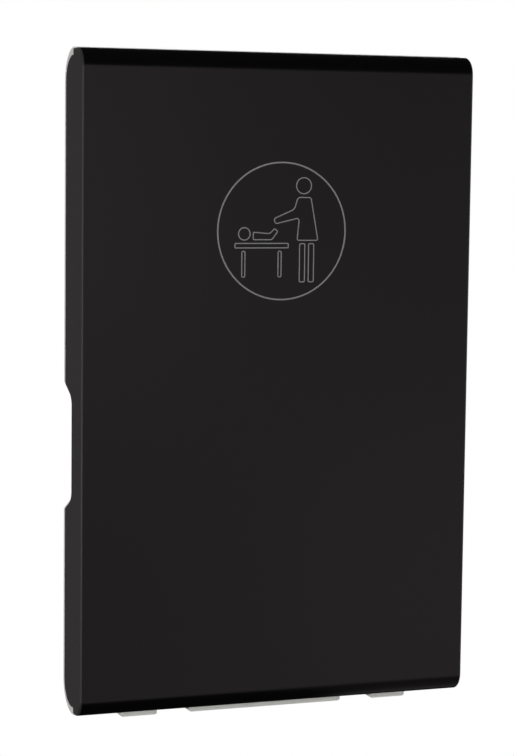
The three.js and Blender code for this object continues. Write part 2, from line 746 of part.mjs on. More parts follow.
function fixingWell([x, z]) {
  const floor = -WALL_PLATE - SEAT - FIXING_FLOOR;
  const well = hole(FIXING_WELL / 2, x, z, -chassisDepth - OVERCUT, floor);
  return join(well, hole(FIXING_HOLE / 2, x, z, floor - OVERCUT, OVERCUT));
}

function crossRib(_, i) {
  const z = RIB_LOW + (i / (RIB_COUNT - 1)) * (coverTop - RIB_TOP_INSET - RIB_LOW);
  const half = chassisHalf - CHASSIS_WALL;
  const rear = chassisInner + STIFF_RIB_DEPTH;
  return box(-half, half, chassisInner - SEAT, rear, z - STIFF_RIB / 2, z + STIFF_RIB / 2);
}

// The seat of the small clip-on cap in the middle of the foot's front
function footCapSeat() {
  const half = FOOT_CAP_WIDTH / 2 + FIT;
  const front = hingeY - LUG_RADIUS;
  const rise = FOOT_CAP_HEIGHT / 2 + FIT;
  return box(-half, half, front - OVERCUT, front + FOOT_CAP_SINK, HINGE_RISE - rise, HINGE_RISE + rise);
}

function chassis() {
  const body = cut(chassisBody(0), chassisBody(CHASSIS_WALL));
  const blocks = [[-lugCentre, LUG_WIDTH], [0, footHalf * 2], [lugCentre, LUG_WIDTH]];
  const added = [
    ...blocks.map(([centre, width]) => hingeBlock(centre, width)),
    ...fixings().map(fixingBoss),
    ...Array.from({ length: RIB_COUNT }, crossRib),
  ];
  const bores = sides.map(([, side]) => rod(bushRadius + SEAT,
    ...span(side, lugInner - OVERCUT, lugOuter + OVERCUT)));
  bores.push(rod(cartridgeRadius + SEAT, -footHalf - OVERCUT, footHalf + OVERCUT));
  const tools = [
    ...bores.map((bore) => bore.translate(0, hingeY, HINGE_RISE)),
    ...earPlaces.map(earSlot),
    ...fixings().map(fixingWell),
    footCapSeat(),
  ];
  return cut(join(body, ...added), ...tools);
}

place(wallSide, 'wall_chassis', chassis(), whiteMoulding);

function footCap() {
  const half = FOOT_CAP_WIDTH / 2;
  const front = hingeY - LUG_RADIUS;
  const rise = FOOT_CAP_HEIGHT / 2;
  const face = roundedRectangle(-half, half, HINGE_RISE - rise, HINGE_RISE + rise, LUG_ROUND / 2);
  return extrudeY(face, front - FOOT_CAP_PROUD, front + FOOT_CAP_SINK - SEAT);
}

place(wallSide, 'foot_cap', footCap(), whiteMoulding);

// Caps over the wall bolts

function fixingCap() {
  const radius = FIXING_WELL / 2 - SEAT;
  return chamferedButton(radius, FIXING_CAP, FIXING_CAP_EDGE);
}

fixings().forEach(([x, z], i) => {
  const cap = place(wallSide, `fixing_cap_${i + 1}`, fixingCap(), whiteMoulding);
  cap.position.set(x, FIXING_CAP - chassisDepth, z);
});

// Rubber bumpers that the bed's rim closes on

function bumper() {
  const height = BED_GAP - 2 * SEAT;
  return chamferedButton(BUMPER_RADIUS, height, BUMPER_EDGE);
}

const bumperX = tubHalf + FIT + BUMPER_RADIUS;
const bumperHeights = [BUMPER_LOW, coverTop - BUMPER_TOP_INSET];
[-bumperX, bumperX].flatMap((x) => bumperHeights.map((z) => [x, z])).forEach(([x, z], i) => {
  const pad = place(wallSide, `bumper_${i + 1}`, bumper(), blackRubber);
  pad.position.set(x, -chassisDepth - SEAT, z);
});

// Liner pocket, open at the top, with the paper liners in it

const pocketRear = -chassisDepth - SEAT;
const pocketTop = coverTop - POCKET_TOP_INSET;
const pocketLow = pocketTop - POCKET_HEIGHT;

function linerPocket() {
  const half = POCKET_WIDTH / 2;
  const inner = half - POCKET_WALL;
  const front = pocketRear - POCKET_DEPTH;
  const outline = roundedRectangle(-half, half, pocketLow, pocketTop + POCKET_CORNER, POCKET_CORNER);
  const room = roundedRectangle(-inner, inner, pocketLow + POCKET_WALL,
    pocketTop + POCKET_CORNER * 2, POCKET_CORNER - POCKET_WALL);
  const above = box(-half - OVERCUT, half + OVERCUT, front - OVERCUT, pocketRear + OVERCUT,
    pocketTop, pocketTop + POCKET_CORNER * 2);
  const thumb = hole(THUMB_RADIUS, 0, pocketTop, front - OVERCUT, front + POCKET_WALL + OVERCUT);
  return cut(extrudeY(outline, front, pocketRear),
    extrudeY(room, front + POCKET_WALL, pocketRear + OVERCUT), above, thumb);
}

function linerStack() {
  const half = POCKET_WIDTH / 2 - POCKET_CORNER;
  const low = pocketLow + POCKET_WALL + SEAT;
  const front = pocketRear - POCKET_DEPTH + POCKET_WALL + SEAT;
  return box(-half, half, front, pocketRear, low, pocketTop + LINER_TOP);
}

place(wallSide, 'liner_pocket', linerPocket(), whiteMoulding);
place(wallSide, 'liner_stack', linerStack(), paper);

// Bag hooks

function bagHook() {
  const arm = new THREE.Shape();
  const base = HOOK_BASE - OVERCUT;
  const inner = HOOK_BEND - HOOK_BAR / 2;
  const tip = HOOK_RISE - HOOK_BAR / 2;
  arm.moveTo(-base, 0);
  arm.lineTo(HOOK_BEND - HOOK_REACH, 0);
  arm.absarc(HOOK_BEND - HOOK_REACH, HOOK_BEND, HOOK_BEND, -Math.PI / 2, -Math.PI, true);
  arm.absarc(HOOK_BAR / 2 - HOOK_REACH, tip, HOOK_BAR / 2, Math.PI, 0, true);
  arm.absarc(HOOK_BAR + inner - HOOK_REACH, HOOK_BAR + inner, inner, Math.PI, Math.PI * 1.5, false);
  arm.lineTo(-base, HOOK_BAR);
  const half = HOOK_BASE_WIDTH / 2;
  const rise = HOOK_BASE_HEIGHT / 2;
  const plate = roundedRectangle(-half, half, -rise, rise, HOOK_BASE_CORNER);
  const hook = extrudeX(arm, -HOOK_WIDTH / 2, HOOK_WIDTH / 2).translate(0, 0, -HOOK_DROP);
  return join(extrudeY(plate, -HOOK_BASE, 0), hook);
}

for (const [word, side] of sides) {
  const hook = place(wallSide, `bag_hook_${word}`, bagHook(), whiteMoulding);
  hook.position.set(side * (chassisHalf - HOOK_INSET), -chassisDepth - SEAT, coverTop - HOOK_TOP_INSET);
}

// Safety strap: an anchor loop on each side, two lengths of webbing and a push-button buckle.
// Depths count from the strap's saddle on the bed's floor, heights from the strap's middle.

const strapSet = new THREE.Group();
strapSet.position.set(0, strapFloor, STRAP_HEIGHT);
bedParts.add(strapSet);

const slotHeight = STRAP + 2 * SEAT;
const buckleHalf = BUCKLE_LENGTH / 2;
const strapLevel = BUCKLE_HEIGHT / 2 - STRAP / 2;
const tongueLevel = BUCKLE_HEIGHT / 2 - TONGUE / 2;
const headStart = buckleHalf + SEAT;
const anchorX = floorHalf - ANCHOR_INSET;

function strapAnchor() {
  const outer = slotHalf + ANCHOR_FOOT;
  const top = slotHeight + ANCHOR;
  const shape = polygon([
    [0, -outer], [0, -slotHalf], [slotHeight, -slotHalf], [slotHeight, slotHalf], [0, slotHalf],
    [0, outer], [ANCHOR, outer], [ANCHOR, slotHalf + ANCHOR], [top, slotHalf],
    [top, -slotHalf], [ANCHOR, -slotHalf - ANCHOR], [ANCHOR, -outer],
  ]);
  return extrudeX(shape, -ANCHOR_LENGTH / 2, ANCHOR_LENGTH / 2);
}

// Webbing that lies on the saddle and rises to the level of the slot that holds its end
function strap(side, endX) {
  const start = side * (anchorX + ANCHOR_LENGTH / 2 + STRAP_TAIL);
  const held = endX - side * STRAP_GRIPPED;
  const rampEnd = endX + side * STRAP_SPARE;
  const rampStart = rampEnd + side * STRAP_RAMP;
  const shape = polygon([
    [start, SEAT], [rampStart, SEAT], [rampEnd, strapLevel], [held, strapLevel],
    [held, strapLevel + STRAP], [rampEnd, strapLevel + STRAP], [rampStart, SEAT + STRAP],
    [start, SEAT + STRAP],
  ]);
  return extrudeZ(shape, -STRAP_WIDTH / 2, STRAP_WIDTH / 2);
}

function strapSlot(low, high) {
  return box(low, high, strapLevel - SEAT, strapLevel + STRAP + SEAT, -slotHalf, slotHalf);
}

function buckleBody() {
  const width = BUCKLE_WIDTH / 2;
  const outline = roundedRectangle(-buckleHalf, buckleHalf, -width, width, BUCKLE_CORNER);
  const block = extrudeY(outline, SEAT, BUCKLE_HEIGHT);
  const blade = TONGUE_BLADE / 2 + SEAT;
  const mouth = box(buckleHalf - TONGUE_INSERT - SEAT, buckleHalf + OVERCUT,
    tongueLevel - SEAT, tongueLevel + TONGUE + SEAT, -blade, blade);
  const well = extrudeY(buttonOutline(RUN),
    BUCKLE_HEIGHT + BUTTON_PROUD - BUTTON_HEIGHT - BUTTON_TRAVEL - SEAT, BUCKLE_HEIGHT + OVERCUT);
  const slot = strapSlot(-buckleHalf - OVERCUT, STRAP_GRIPPED + SEAT - buckleHalf);
  return cut(block, mouth, well, slot);
}

function buttonOutline(room) {
  const length = BUTTON_LENGTH / 2 + room;
  const width = BUTTON_WIDTH / 2 + room;
  return roundedRectangle(-length, length, -width, width, BUTTON_CORNER);
}

function buckleButton() {
  const top = BUCKLE_HEIGHT + BUTTON_PROUD;
  return extrudeY(buttonOutline(0), top - BUTTON_HEIGHT, top);
}

function buckleTongue() {
  const width = BUCKLE_WIDTH / 2;
  const low = (BUCKLE_HEIGHT - TONGUE_HEAD_HEIGHT) / 2;
  const head = extrudeY(
    roundedRectangle(headStart, headStart + TONGUE_HEAD, -width, width, BUCKLE_CORNER),
    low, low + TONGUE_HEAD_HEIGHT);
  const blade = box(buckleHalf - TONGUE_INSERT, headStart + OVERCUT,
    tongueLevel, tongueLevel + TONGUE, -TONGUE_BLADE / 2, TONGUE_BLADE / 2);
  const headEnd = headStart + TONGUE_HEAD;
  return cut(join(head, blade), strapSlot(headEnd - STRAP_GRIPPED - SEAT, headEnd + OVERCUT));
}

for (const [word, side] of sides) {
  place(strapSet, `strap_anchor_${word}`, strapAnchor(), greyNylon).position.x = side * anchorX;
}
place(strapSet, 'strap_left', strap(-1, -buckleHalf), greyWebbing);
place(strapSet, 'strap_right', strap(1, headStart + TONGUE_HEAD), greyWebbing);
place(strapSet, 'buckle_body', buckleBody(), blackNylon);
place(strapSet, 'buckle_tongue', buckleTongue(), blackNylon);
place(strapSet, 'buckle_button', buckleButton(), redPlastic);

export default station;
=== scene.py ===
import json
import math
import random

import bmesh
import bpy
from bpy.props import FloatProperty, FloatVectorProperty, IntProperty, PointerProperty
from bpy.types import Operator, Panel, PropertyGroup
from mathutils import Matrix, Vector
from mathutils.kdtree import KDTree

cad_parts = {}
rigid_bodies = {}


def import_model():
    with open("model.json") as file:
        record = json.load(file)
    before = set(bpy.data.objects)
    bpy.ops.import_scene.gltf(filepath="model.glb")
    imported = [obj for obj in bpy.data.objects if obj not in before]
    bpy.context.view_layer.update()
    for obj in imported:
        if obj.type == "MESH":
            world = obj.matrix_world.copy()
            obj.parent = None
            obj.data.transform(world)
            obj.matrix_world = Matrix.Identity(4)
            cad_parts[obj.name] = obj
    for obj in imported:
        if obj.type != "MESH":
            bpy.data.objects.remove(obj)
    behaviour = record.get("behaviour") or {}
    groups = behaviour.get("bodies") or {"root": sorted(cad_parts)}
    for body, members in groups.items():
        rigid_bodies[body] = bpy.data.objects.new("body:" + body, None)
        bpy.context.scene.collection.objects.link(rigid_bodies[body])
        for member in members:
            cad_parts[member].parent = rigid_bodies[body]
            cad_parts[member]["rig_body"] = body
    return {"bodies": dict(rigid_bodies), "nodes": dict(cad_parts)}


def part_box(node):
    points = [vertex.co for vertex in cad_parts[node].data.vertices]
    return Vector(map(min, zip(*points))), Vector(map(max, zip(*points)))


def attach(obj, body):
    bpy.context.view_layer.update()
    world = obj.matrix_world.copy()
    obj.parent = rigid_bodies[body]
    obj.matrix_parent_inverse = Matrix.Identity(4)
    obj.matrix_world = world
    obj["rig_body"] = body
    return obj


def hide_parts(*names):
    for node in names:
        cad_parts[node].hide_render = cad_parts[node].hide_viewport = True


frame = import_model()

bl_info = {
    "name": "Baby changing station",
    "version": (1, 0, 0),
    "blender": (4, 5, 0),
    "location": "View3D > Sidebar > Changing station",
    "description": "Finishes a wall-hung baby changing station around its CAD frame",
    "category": "Object",
}

MM = 0.001
WELD = 0.01 * MM
FLAT_ANGLE = math.radians(0.5)
SHARP_ANGLE = math.radians(35)
FACET_LOW = math.radians(1)
FACET_HIGH = math.radians(22)
ROOM_SHARE = 0.45
BEVEL_WEIGHT = "bevel_weight_edge"
FOLD_ANGLE = math.radians(168)
FOLD_AREA = 0.002 * MM * MM
FOLD_REACH = 2.5
FOLD_TRIES = 8
SIDES = (("left", -1), ("right", 1))


def clear_startup():
    """Take away what a new Blender file starts with, so that only the frame is left."""
    kept = [*frame["nodes"].values(), *frame["bodies"].values()]
    for thing in list(bpy.data.objects):
        if thing not in kept:
            bpy.data.objects.remove(thing)


clear_startup()
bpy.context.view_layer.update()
COVER_LOW, COVER_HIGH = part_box("front_cover")
SHELL_LOW, SHELL_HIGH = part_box("bed_shell")


def length(name, description, default):
    """A length property in metres, from a default in millimetres."""
    return FloatProperty(name=name, description=description, default=default * MM, unit="LENGTH")


def colour(name, description, default):
    """A colour property."""
    return FloatVectorProperty(
        name=name, description=description, default=default, size=3, min=0, max=1, subtype="COLOR")


class CoverSizes(PropertyGroup):
    """Sizes of the sheet-steel cover and of the symbol printed on it."""

    sheet: length("Sheet", "Thickness of the steel sheet", 1.0)
    end_bend: length("End bend", "Radius where the front rolls into the top and bottom", 25.0)
    side_bend: length("Side bend", "Radius where the front turns into the flanges", 2.6)
    top_return: length("Top return", "Depth of the rolled top", 41.0)
    bottom_return: length("Bottom return", "Depth of the rolled bottom", 32.2)
    flange_step: length("Flange step", "Flange end below the cover's top", 9.0)
    flange_corner: length("Flange corner", "Radius of the flange's rear corners", 32.8)
    grip_length: length("Grip length", "Length of the finger notch", 169.0)
    grip_depth: length("Grip depth", "Depth of the finger notch", 30.0)
    grip_slant: length("Grip slant", "How far the notch's ends lean outwards", 16.0)
    grip_corner: length("Grip corner", "Radius of the notch's inner corners", 18.0)
    grip_lip: length("Grip lip", "Radius of the notch's outer corners", 4.0)
    grip_height: length("Grip height", "Notch middle above the cover's lower edge", 358.0)
    print_depth: length("Print", "Thickness of the printed ink", 0.1)
    ring_radius: length("Ring", "Outer radius of the symbol's ring", 92.9)
    ring_stroke: length("Ring line", "Width of the ring's line", 2.1)
    figure_stroke: length("Figure line", "Width of the lines inside the ring", 1.5)
    ring_height: length("Ring height", "Ring's middle above the cover's lower edge", 648.0)


class BedSizes(PropertyGroup):
    """Sizes of the moulded bed's tub and of the chassis corners."""

    side_rim: length("Side rim", "Width of the rim beside the tub", 44.0)
    end_rim: length("End rim", "Width of the rim above and below the tub, from the cover's edge", 48.0)
    tub_depth: length("Tub depth", "Depth of the tub's floor below the rim", 46.0)
    tub_corner: length("Tub corner", "Corner radius of the tub's opening", 72.0)
    tub_lip: length("Tub lip", "Rounding of the tub's upper edge", 6.0)
    tub_draft: length("Tub draft", "How far the tub's walls lean inwards", 9.0)
    tub_fillet: length("Tub fillet", "Rounding between the tub's walls and floor", 22.0)
    saddle_depth: length("Saddle", "Depth of the band that the strap lies in", 1.5)
    saddle_spare: length("Saddle spare", "Saddle beyond the strap anchors' ends", 3.0)
    bed_corner: length("Bed corner", "Rounding of the bed's rear ends", 42.6)
    chassis_corner: length("Chassis corner", "Corner radius of the chassis", 45.0)


class FittingSizes(PropertyGroup):
    """Sizes of the strap, the screws and the liners."""

    webbing: length("Webbing", "Thickness of the strap", 1.5)
    ramp: length("Ramp", "Length over which the strap rises to the buckle", 26.0)
    ramp_gap: length("Ramp gap", "Flat strap between the buckle and the ramp", 3.0)
    lap: length("Lap", "Length of the sewn-back end of the strap", 58.0)
    stitch: length("Stitch", "Length of a stitch", 2.6)
    screw_radius: length("Screw head", "Radius of a screw head", 4.0)
    screw_height: length("Screw height", "Height of a screw head", 2.0)
    liner_count: IntProperty(name="Liners", description="Folded liners in the pocket", default=9, min=1)
    moulded_edge: length("Moulded edge", "Rounding of the mouldings' edges", 0.7)
    pressed_edge: length("Pressed edge", "Rounding of the steel pieces' edges", 0.25)
    bush_edge: length("Bush edge", "Rounding of the thin bushes' edges", 0.1)


class Finishes(PropertyGroup):
    """Colours of the station's materials."""

    coat: colour("Powder coat", "Black coat of the cover", (0.0015, 0.0014, 0.0014))
    # Painted highlight: a paler colour on the tight bends that stands in for the light they catch.
    thin_coat: colour("Bend highlight", "Coat along the cover's tight bends", (0.025, 0.024, 0.024))
    ink: colour("Ink", "Grey of the printed symbol", (0.2, 0.198, 0.195))
    moulding: colour("Moulding", "White of the bed", (0.74, 0.74, 0.725))
    # Darker than the bed's white: partly the chassis's own greyer tone, partly painted shade for the shade
    # it lies in under the cover.
    chassis: colour("Chassis", "Greyer white of the chassis and its fittings", (0.655, 0.65, 0.62))
    plating: colour("Plating", "Zinc plating of the steel", (0.56, 0.57, 0.59))
    shaft: colour("Shaft", "Ground steel of the shaft", (0.62, 0.62, 0.62))
    grey_nylon: colour("Grey nylon", "Bushes, hubs and strap anchors", (0.27, 0.275, 0.28))
    black_nylon: colour("Black nylon", "Buckle", (0.022, 0.023, 0.026))
    webbing: colour("Webbing", "Strap", (0.045, 0.048, 0.054))
    thread: colour("Thread", "Stitching", (0.16, 0.165, 0.175))
    button: colour("Button", "Buckle's push button", (0.42, 0.022, 0.016))
    rubber: colour("Rubber", "Bumpers", (0.014, 0.014, 0.014))
    paper: colour("Paper", "Bed liners", (0.86, 0.85, 0.81))


class StageSizes(PropertyGroup):
    """Camera, floor and lamps."""

    camera: FloatVectorProperty(
        name="Camera", description="Place of the camera", default=(-1.1811, -3.1183, 0.3084),
        size=3, subtype="TRANSLATION")
    yaw: FloatProperty(
        name="Yaw", description="Camera's turn to the right", default=math.radians(20.954),
        subtype="ANGLE")
    dip: FloatProperty(
        name="Dip", description="Camera's tilt down", default=math.radians(6.25), subtype="ANGLE")
    roll: FloatProperty(
        name="Roll", description="Camera's turn about its view", default=math.radians(0.669),
        subtype="ANGLE")
    lens: FloatProperty(name="Lens", description="Focal length in millimetres", default=114.06)
    rise: FloatProperty(
        name="Rise", description="Shift of the view upwards, as a share of its height", default=0.05)
    floor_drop: FloatProperty(
        name="Floor", description="Floor below the station's middle", default=1.3, unit="LENGTH")
    key: FloatProperty(name="Key lamp", description="Key lamp's power", default=38, subtype="POWER")
    fill: FloatProperty(name="Fill lamp", description="Fill lamp's power", default=24, subtype="POWER")
    back: FloatProperty(name="Back lamp", description="Back lamp's power", default=45, subtype="POWER")
    overhead: FloatProperty(
        name="Overhead lamp", description="Overhead lamp's power", default=42, subtype="POWER")
    ambient: FloatProperty(name="Ambient", description="Level of the light all round", default=0.28)


# Shaders


class Value:
    """A shader number that Python arithmetic can use: each operation adds a Math node."""

    def __init__(self, shader, socket):
        self.shader = shader
        self.socket = socket

    def math(self, operation, *values, **settings):
        inputs = dict(enumerate(values))
        return self.shader.node("ShaderNodeMath", {"operation": operation, **settings}, inputs)

    def __add__(self, other):
        return self.math("ADD", self, other)

    def __sub__(self, other):
        return self.math("SUBTRACT", self, other)

    def __rsub__(self, other):
        return self.math("SUBTRACT", other, self)

    def __mul__(self, other):
        return self.math("MULTIPLY", self, other)

    def __truediv__(self, other):
        return self.math("DIVIDE", self, other)

    __radd__ = __add__
    __rmul__ = __mul__

    def sine(self):
        return self.math("SINE", self)

    def floor(self):
        return self.math("FLOOR", self)

    def clamped(self):
        return self.math("ADD", self, 0, use_clamp=True)

    def output(self, name):
        """Another output of the same node."""
        return Value(self.shader, self.socket.node.outputs[name])


class Shader:
    """A node tree, with the one method that adds nodes to it."""

    def __init__(self, owner):
        owner.use_nodes = True
        self.owner = owner
        self.tree = owner.node_tree
        self.tree.nodes.clear()

    def node(self, kind, settings=None, inputs=None):
        made = self.tree.nodes.new(kind)
        for name, value in (settings or {}).items():
            setattr(made, name, value)
        for name, value in (inputs or {}).items():
            if isinstance(value, Value):
                self.tree.links.new(value.socket, made.inputs[name])
            else:
                made.inputs[name].default_value = value
        return Value(self, made.outputs[0] if made.outputs else None)

    def place(self, scale=(1, 1, 1)):
        """Object coordinates, stretched by a scale."""
        where = self.node("ShaderNodeTexCoord").output("Object")
        return self.node("ShaderNodeMapping", {}, {"Vector": where, "Scale": scale})

    def noise(self, scale, detail=2.0, stretch=(1, 1, 1)):
        inputs = {"Vector": self.place(stretch), "Scale": scale, "Detail": detail}
        return self.node("ShaderNodeTexNoise", {}, inputs)

    def mix(self, amount, first, second):
        """A colour between two, by an amount from 0 to 1."""
        first, second = (tint if isinstance(tint, Value) else (*tint, 1) for tint in (first, second))
        inputs = {0: amount, 6: first, 7: second}
        return self.node("ShaderNodeMix", {"data_type": "RGBA"}, inputs).output(2)

    def attribute(self, name):
        """A number that the mesh itself carries."""
        return self.node("ShaderNodeAttribute", {"attribute_name": name}).output("Fac")

    def bump(self, height, depth, strength=1.0):
        return self.node("ShaderNodeBump", {}, {"Height": height, "Distance": depth, "Strength": strength})

    def surface(self, **sockets):
        """The material's surface, with socket names in words: Base_Color is Base Color."""
        inputs = {name.replace("_", " "): value for name, value in sockets.items()}
        shader = self.node("ShaderNodeBsdfPrincipled", {}, inputs)
        self.node("ShaderNodeOutputMaterial", {}, {"Surface": shader})
        return self.owner


def made_once(make):
    """One material for each maker, kept under the maker's name."""
    def finish():
        found = bpy.data.materials.get(make.__name__)
        return found or make(Shader(bpy.data.materials.new(make.__name__)), bpy.context.scene.finishes)
    return finish


def shade(tint, factor):
    """A colour made lighter or darker."""
    return [min(1.0, part * factor) for part in tint]


@made_once
def powder_coat(shader, colours):
    """Satin black powder coat, with its fine pebbled skin, and a painted highlight along the bends: a
    paler colour there stands in for the light that the bends catch.
    """
    pebble = shader.noise(1500, 2)
    cloud = shader.noise(7, 3)
    mottle = (pebble * 0.6 + cloud * 0.4).clamped()
    flat = shader.mix(mottle, shade(colours.coat, 0.82), shade(colours.coat, 1.2))
    # Painted highlight: the faces marked as bend get the paler colour, varied by the pebble.
    painted_highlight = shader.attribute("bend") * (0.8 + 0.4 * pebble)
    return shader.surface(
        Base_Color=shader.mix(painted_highlight, flat, colours.thin_coat),
        Roughness=0.2 + 0.08 * pebble,
        Normal=shader.bump(pebble, 0.02 * MM, 0.25),
        Specular_IOR_Level=0.18,
        Specular_Tint=(1.0, 0.9, 0.95, 1.0),
    )


@made_once
def printed_ink(shader, colours):
    """Thin screen-printed grey ink."""
    speck = shader.noise(2400, 2)
    return shader.surface(
        Base_Color=shader.mix(speck, shade(colours.ink, 0.9), shade(colours.ink, 1.1)),
        Roughness=0.42 + 0.12 * speck,
        Normal=shader.bump(speck, 0.02 * MM, 0.3),
        Specular_IOR_Level=0.2,
    )


def moulded(shader, tint, grain_scale, roughness):
    """Moulded plastic with a fine spark-eroded grain and a faint flow pattern."""
    grain = shader.noise(grain_scale, 3)
    flow = shader.noise(5, 3, (1, 1, 0.4))
    tone = (grain * 0.35 + flow * 0.65).clamped()
    return shader.surface(
        Base_Color=shader.mix(tone, shade(tint, 0.955), shade(tint, 1.03)),
        Roughness=roughness - 0.06 + 0.12 * grain,
        Normal=shader.bump(grain, 0.06 * MM, 0.3),
    )


@made_once
def moulded_white(shader, colours):
    return moulded(shader, colours.moulding, 1300, 0.47)


@made_once
def moulded_chassis(shader, colours):
    # Partly painted shade: this white is darker than the bed's, standing in for the shade under the cover.
    return moulded(shader, colours.chassis, 1300, 0.47)


@made_once
def moulded_grey(shader, colours):
    return moulded(shader, colours.grey_nylon, 1700, 0.5)


@made_once
def moulded_black(shader, colours):
    return moulded(shader, colours.black_nylon, 1900, 0.5)


@made_once
def glossy_red(shader, colours):
    return moulded(shader, colours.button, 2600, 0.3)


@made_once
def zinc_plating(shader, colours):
    """Zinc-plated sheet: rolled streaks and a cloudy spangle."""
    streak = shader.noise(260, 3, (1, 1, 0.05))
    cloud = shader.noise(38, 4)
    tone = (streak * 0.4 + cloud * 0.6).clamped()
    return shader.surface(
        Base_Color=shader.mix(tone, shade(colours.plating, 0.8), shade(colours.plating, 1.15)),
        Metallic=1.0,
        Roughness=0.3 + 0.22 * cloud,
        Normal=shader.bump(streak, 0.03 * MM, 0.25),
    )


@made_once
def ground_steel(shader, colours):
    """Ground shaft, with grinding lines round it."""
    lines = shader.noise(2500, 2, (1, 0.02, 0.02))
    return shader.surface(
        Base_Color=shader.mix(lines, shade(colours.shaft, 0.85), shade(colours.shaft, 1.1)),
        Metallic=1.0,
        Roughness=0.2 + 0.16 * lines,
        Normal=shader.bump(lines, 0.01 * MM, 0.3),
    )


@made_once
def woven_webbing(shader, colours):
    """Plain-woven webbing: ribs along the strap, crossed by picks that step from rib to rib, with painted
    shade in the weave's hollows.
    """
    rib_pitch = 1.9 * MM
    pick_pitch = 2.4 * MM
    parts = shader.node("ShaderNodeSeparateXYZ", {}, {"Vector": shader.place()})
    across = parts.output("Z") / rib_pitch
    along = parts.output("X") / pick_pitch
    row = across.floor()
    rib = (across * math.pi).sine().math("ABSOLUTE", (across * math.pi).sine())
    pick = ((along + row * 0.5) * math.tau).sine() * 0.5 + 0.5
    fuzz = shader.noise(3500, 2)
    height = (rib * 0.55 + pick * 0.35 + fuzz * 0.1).clamped()
    # Painted shade: the colour follows the weave's height, darker in the hollows between ribs and picks;
    # the fuzz varies it at random.
    return shader.surface(
        Base_Color=shader.mix(height, shade(colours.webbing, 0.45), shade(colours.webbing, 1.35)),
        Roughness=0.78 + 0.12 * fuzz,
        Normal=shader.bump(height, 0.3 * MM, 0.8),
        Sheen_Weight=0.25,
    )


@made_once
def sewing_thread(shader, colours):
    """Twisted polyester thread."""
    twist = shader.noise(5200, 2)
    return shader.surface(
        Base_Color=shader.mix(twist, shade(colours.thread, 0.7), shade(colours.thread, 1.2)),
        Roughness=0.55 + 0.2 * twist,
        Normal=shader.bump(twist, 0.05 * MM, 0.6),
    )


@made_once
def bumper_rubber(shader, colours):
    """Matt rubber with a dusty skin."""
    dust = shader.noise(900, 4)
    return shader.surface(
        Base_Color=shader.mix(dust, shade(colours.rubber, 0.7), shade(colours.rubber, 1.6)),
        Roughness=0.72 + 0.2 * dust,
        Normal=shader.bump(dust, 0.05 * MM, 0.5),
    )


@made_once
def tissue_paper(shader, colours):
    """Creped tissue: fine crossways wrinkles and loose fibres."""
    crepe = shader.noise(420, 3, (0.25, 1, 1))
    fibre = shader.noise(2600, 3)
    tone = (crepe * 0.6 + fibre * 0.4).clamped()
    return shader.surface(
        Base_Color=shader.mix(tone, shade(colours.paper, 0.9), shade(colours.paper, 1.06)),
        Roughness=0.9 + 0.08 * fibre,
        Normal=shader.bump(crepe, 0.25 * MM, 0.6),
    )


# Meshes


def round_edges(bm, edges, radius, segments):
    """Round edges to a radius and return the new faces."""
    made = bmesh.ops.bevel(
        bm, geom=edges, offset=radius, offset_type="OFFSET", affect="EDGES",
        segments=segments, profile=0.5, material=-1)
    return made["faces"]


def round_corners(bm, verts, radius, segments):
    """Round the corners of a flat face."""
    bmesh.ops.bevel(
        bm, geom=verts, offset=radius, offset_type="OFFSET", affect="VERTICES",
        segments=segments, profile=0.5, material=-1)


def flat_face(bm, points):
    """A face through points, in order."""
    return bm.faces.new([bm.verts.new(point) for point in points])


def rounded_face(bm, low_x, high_x, low_z, high_z, y, radius, segments):
    """A rounded rectangle that faces +Y or -Y."""
    corners = [(low_x, y, low_z), (high_x, y, low_z), (high_x, y, high_z), (low_x, y, high_z)]
    face = flat_face(bm, corners)
    others = set(bm.faces)
    others.discard(face)
    round_corners(bm, list(face.verts), radius, segments)
    return next(found for found in bm.faces if found not in others)


def extrude_face(bm, face, vector):
    """Extrude a face into a closed block and return its far face."""
    made = bmesh.ops.extrude_face_region(bm, geom=[face], use_keep_orig=True)["geom"]
    verts = [item for item in made if isinstance(item, bmesh.types.BMVert)]
    bmesh.ops.translate(bm, verts=verts, vec=vector)
    return next(item for item in made if isinstance(item, bmesh.types.BMFace))


def sweep(bm, points, vector):
    """A sheet made by sweeping a chain of points along a vector."""
    chain = [bm.verts.new(point) for point in points]
    edges = [bm.edges.new(pair) for pair in zip(chain, chain[1:])]
    made = bmesh.ops.extrude_edge_only(bm, edges=edges)["geom"]
    moved = [item for item in made if isinstance(item, bmesh.types.BMVert)]
    bmesh.ops.translate(bm, verts=moved, vec=vector)
    return chain, moved


def add_piece(bm, name, finish, body, replaces=()):
    """Turn a bmesh into a smooth-shaded piece that rides on a body."""
    mesh = bpy.data.meshes.new(name)
    bm.to_mesh(mesh)
    bm.free()
    if "custom_normal" in mesh.attributes:
        mesh.attributes.remove(mesh.attributes["custom_normal"])
    mesh.materials.clear()
    mesh.materials.append(finish)
    mesh.shade_smooth()
    mesh.set_sharp_from_angle(angle=SHARP_ANGLE)
    piece = bpy.data.objects.new(name, mesh)
    bpy.context.scene.collection.objects.link(piece)
    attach(piece, body)
    if replaces:
        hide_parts(*replaces)
    return piece


def is_sharp(edge):
    """Whether two faces meet at an edge steeply enough for it to be rounded."""
    return len(edge.link_faces) == 2 and edge.calc_face_angle() > SHARP_ANGLE


def edge_room(edge):
    """The widest rounding that an edge has room for beside its neighbours."""
    spans = []
    for loop in edge.link_loops:
        for corner, other in ((loop, loop.link_loop_prev.edge),
                              (loop.link_loop_next, loop.link_loop_next.edge)):
            angle = corner.calc_angle()
            if not is_sharp(other):
                spans.append(other.calc_length() * math.sin(angle))
            elif corner.is_convex:
                spans.append(min(edge.calc_length(), other.calc_length()) * math.tan(angle / 2))
    return ROOM_SHARE * min(spans, default=1.0)


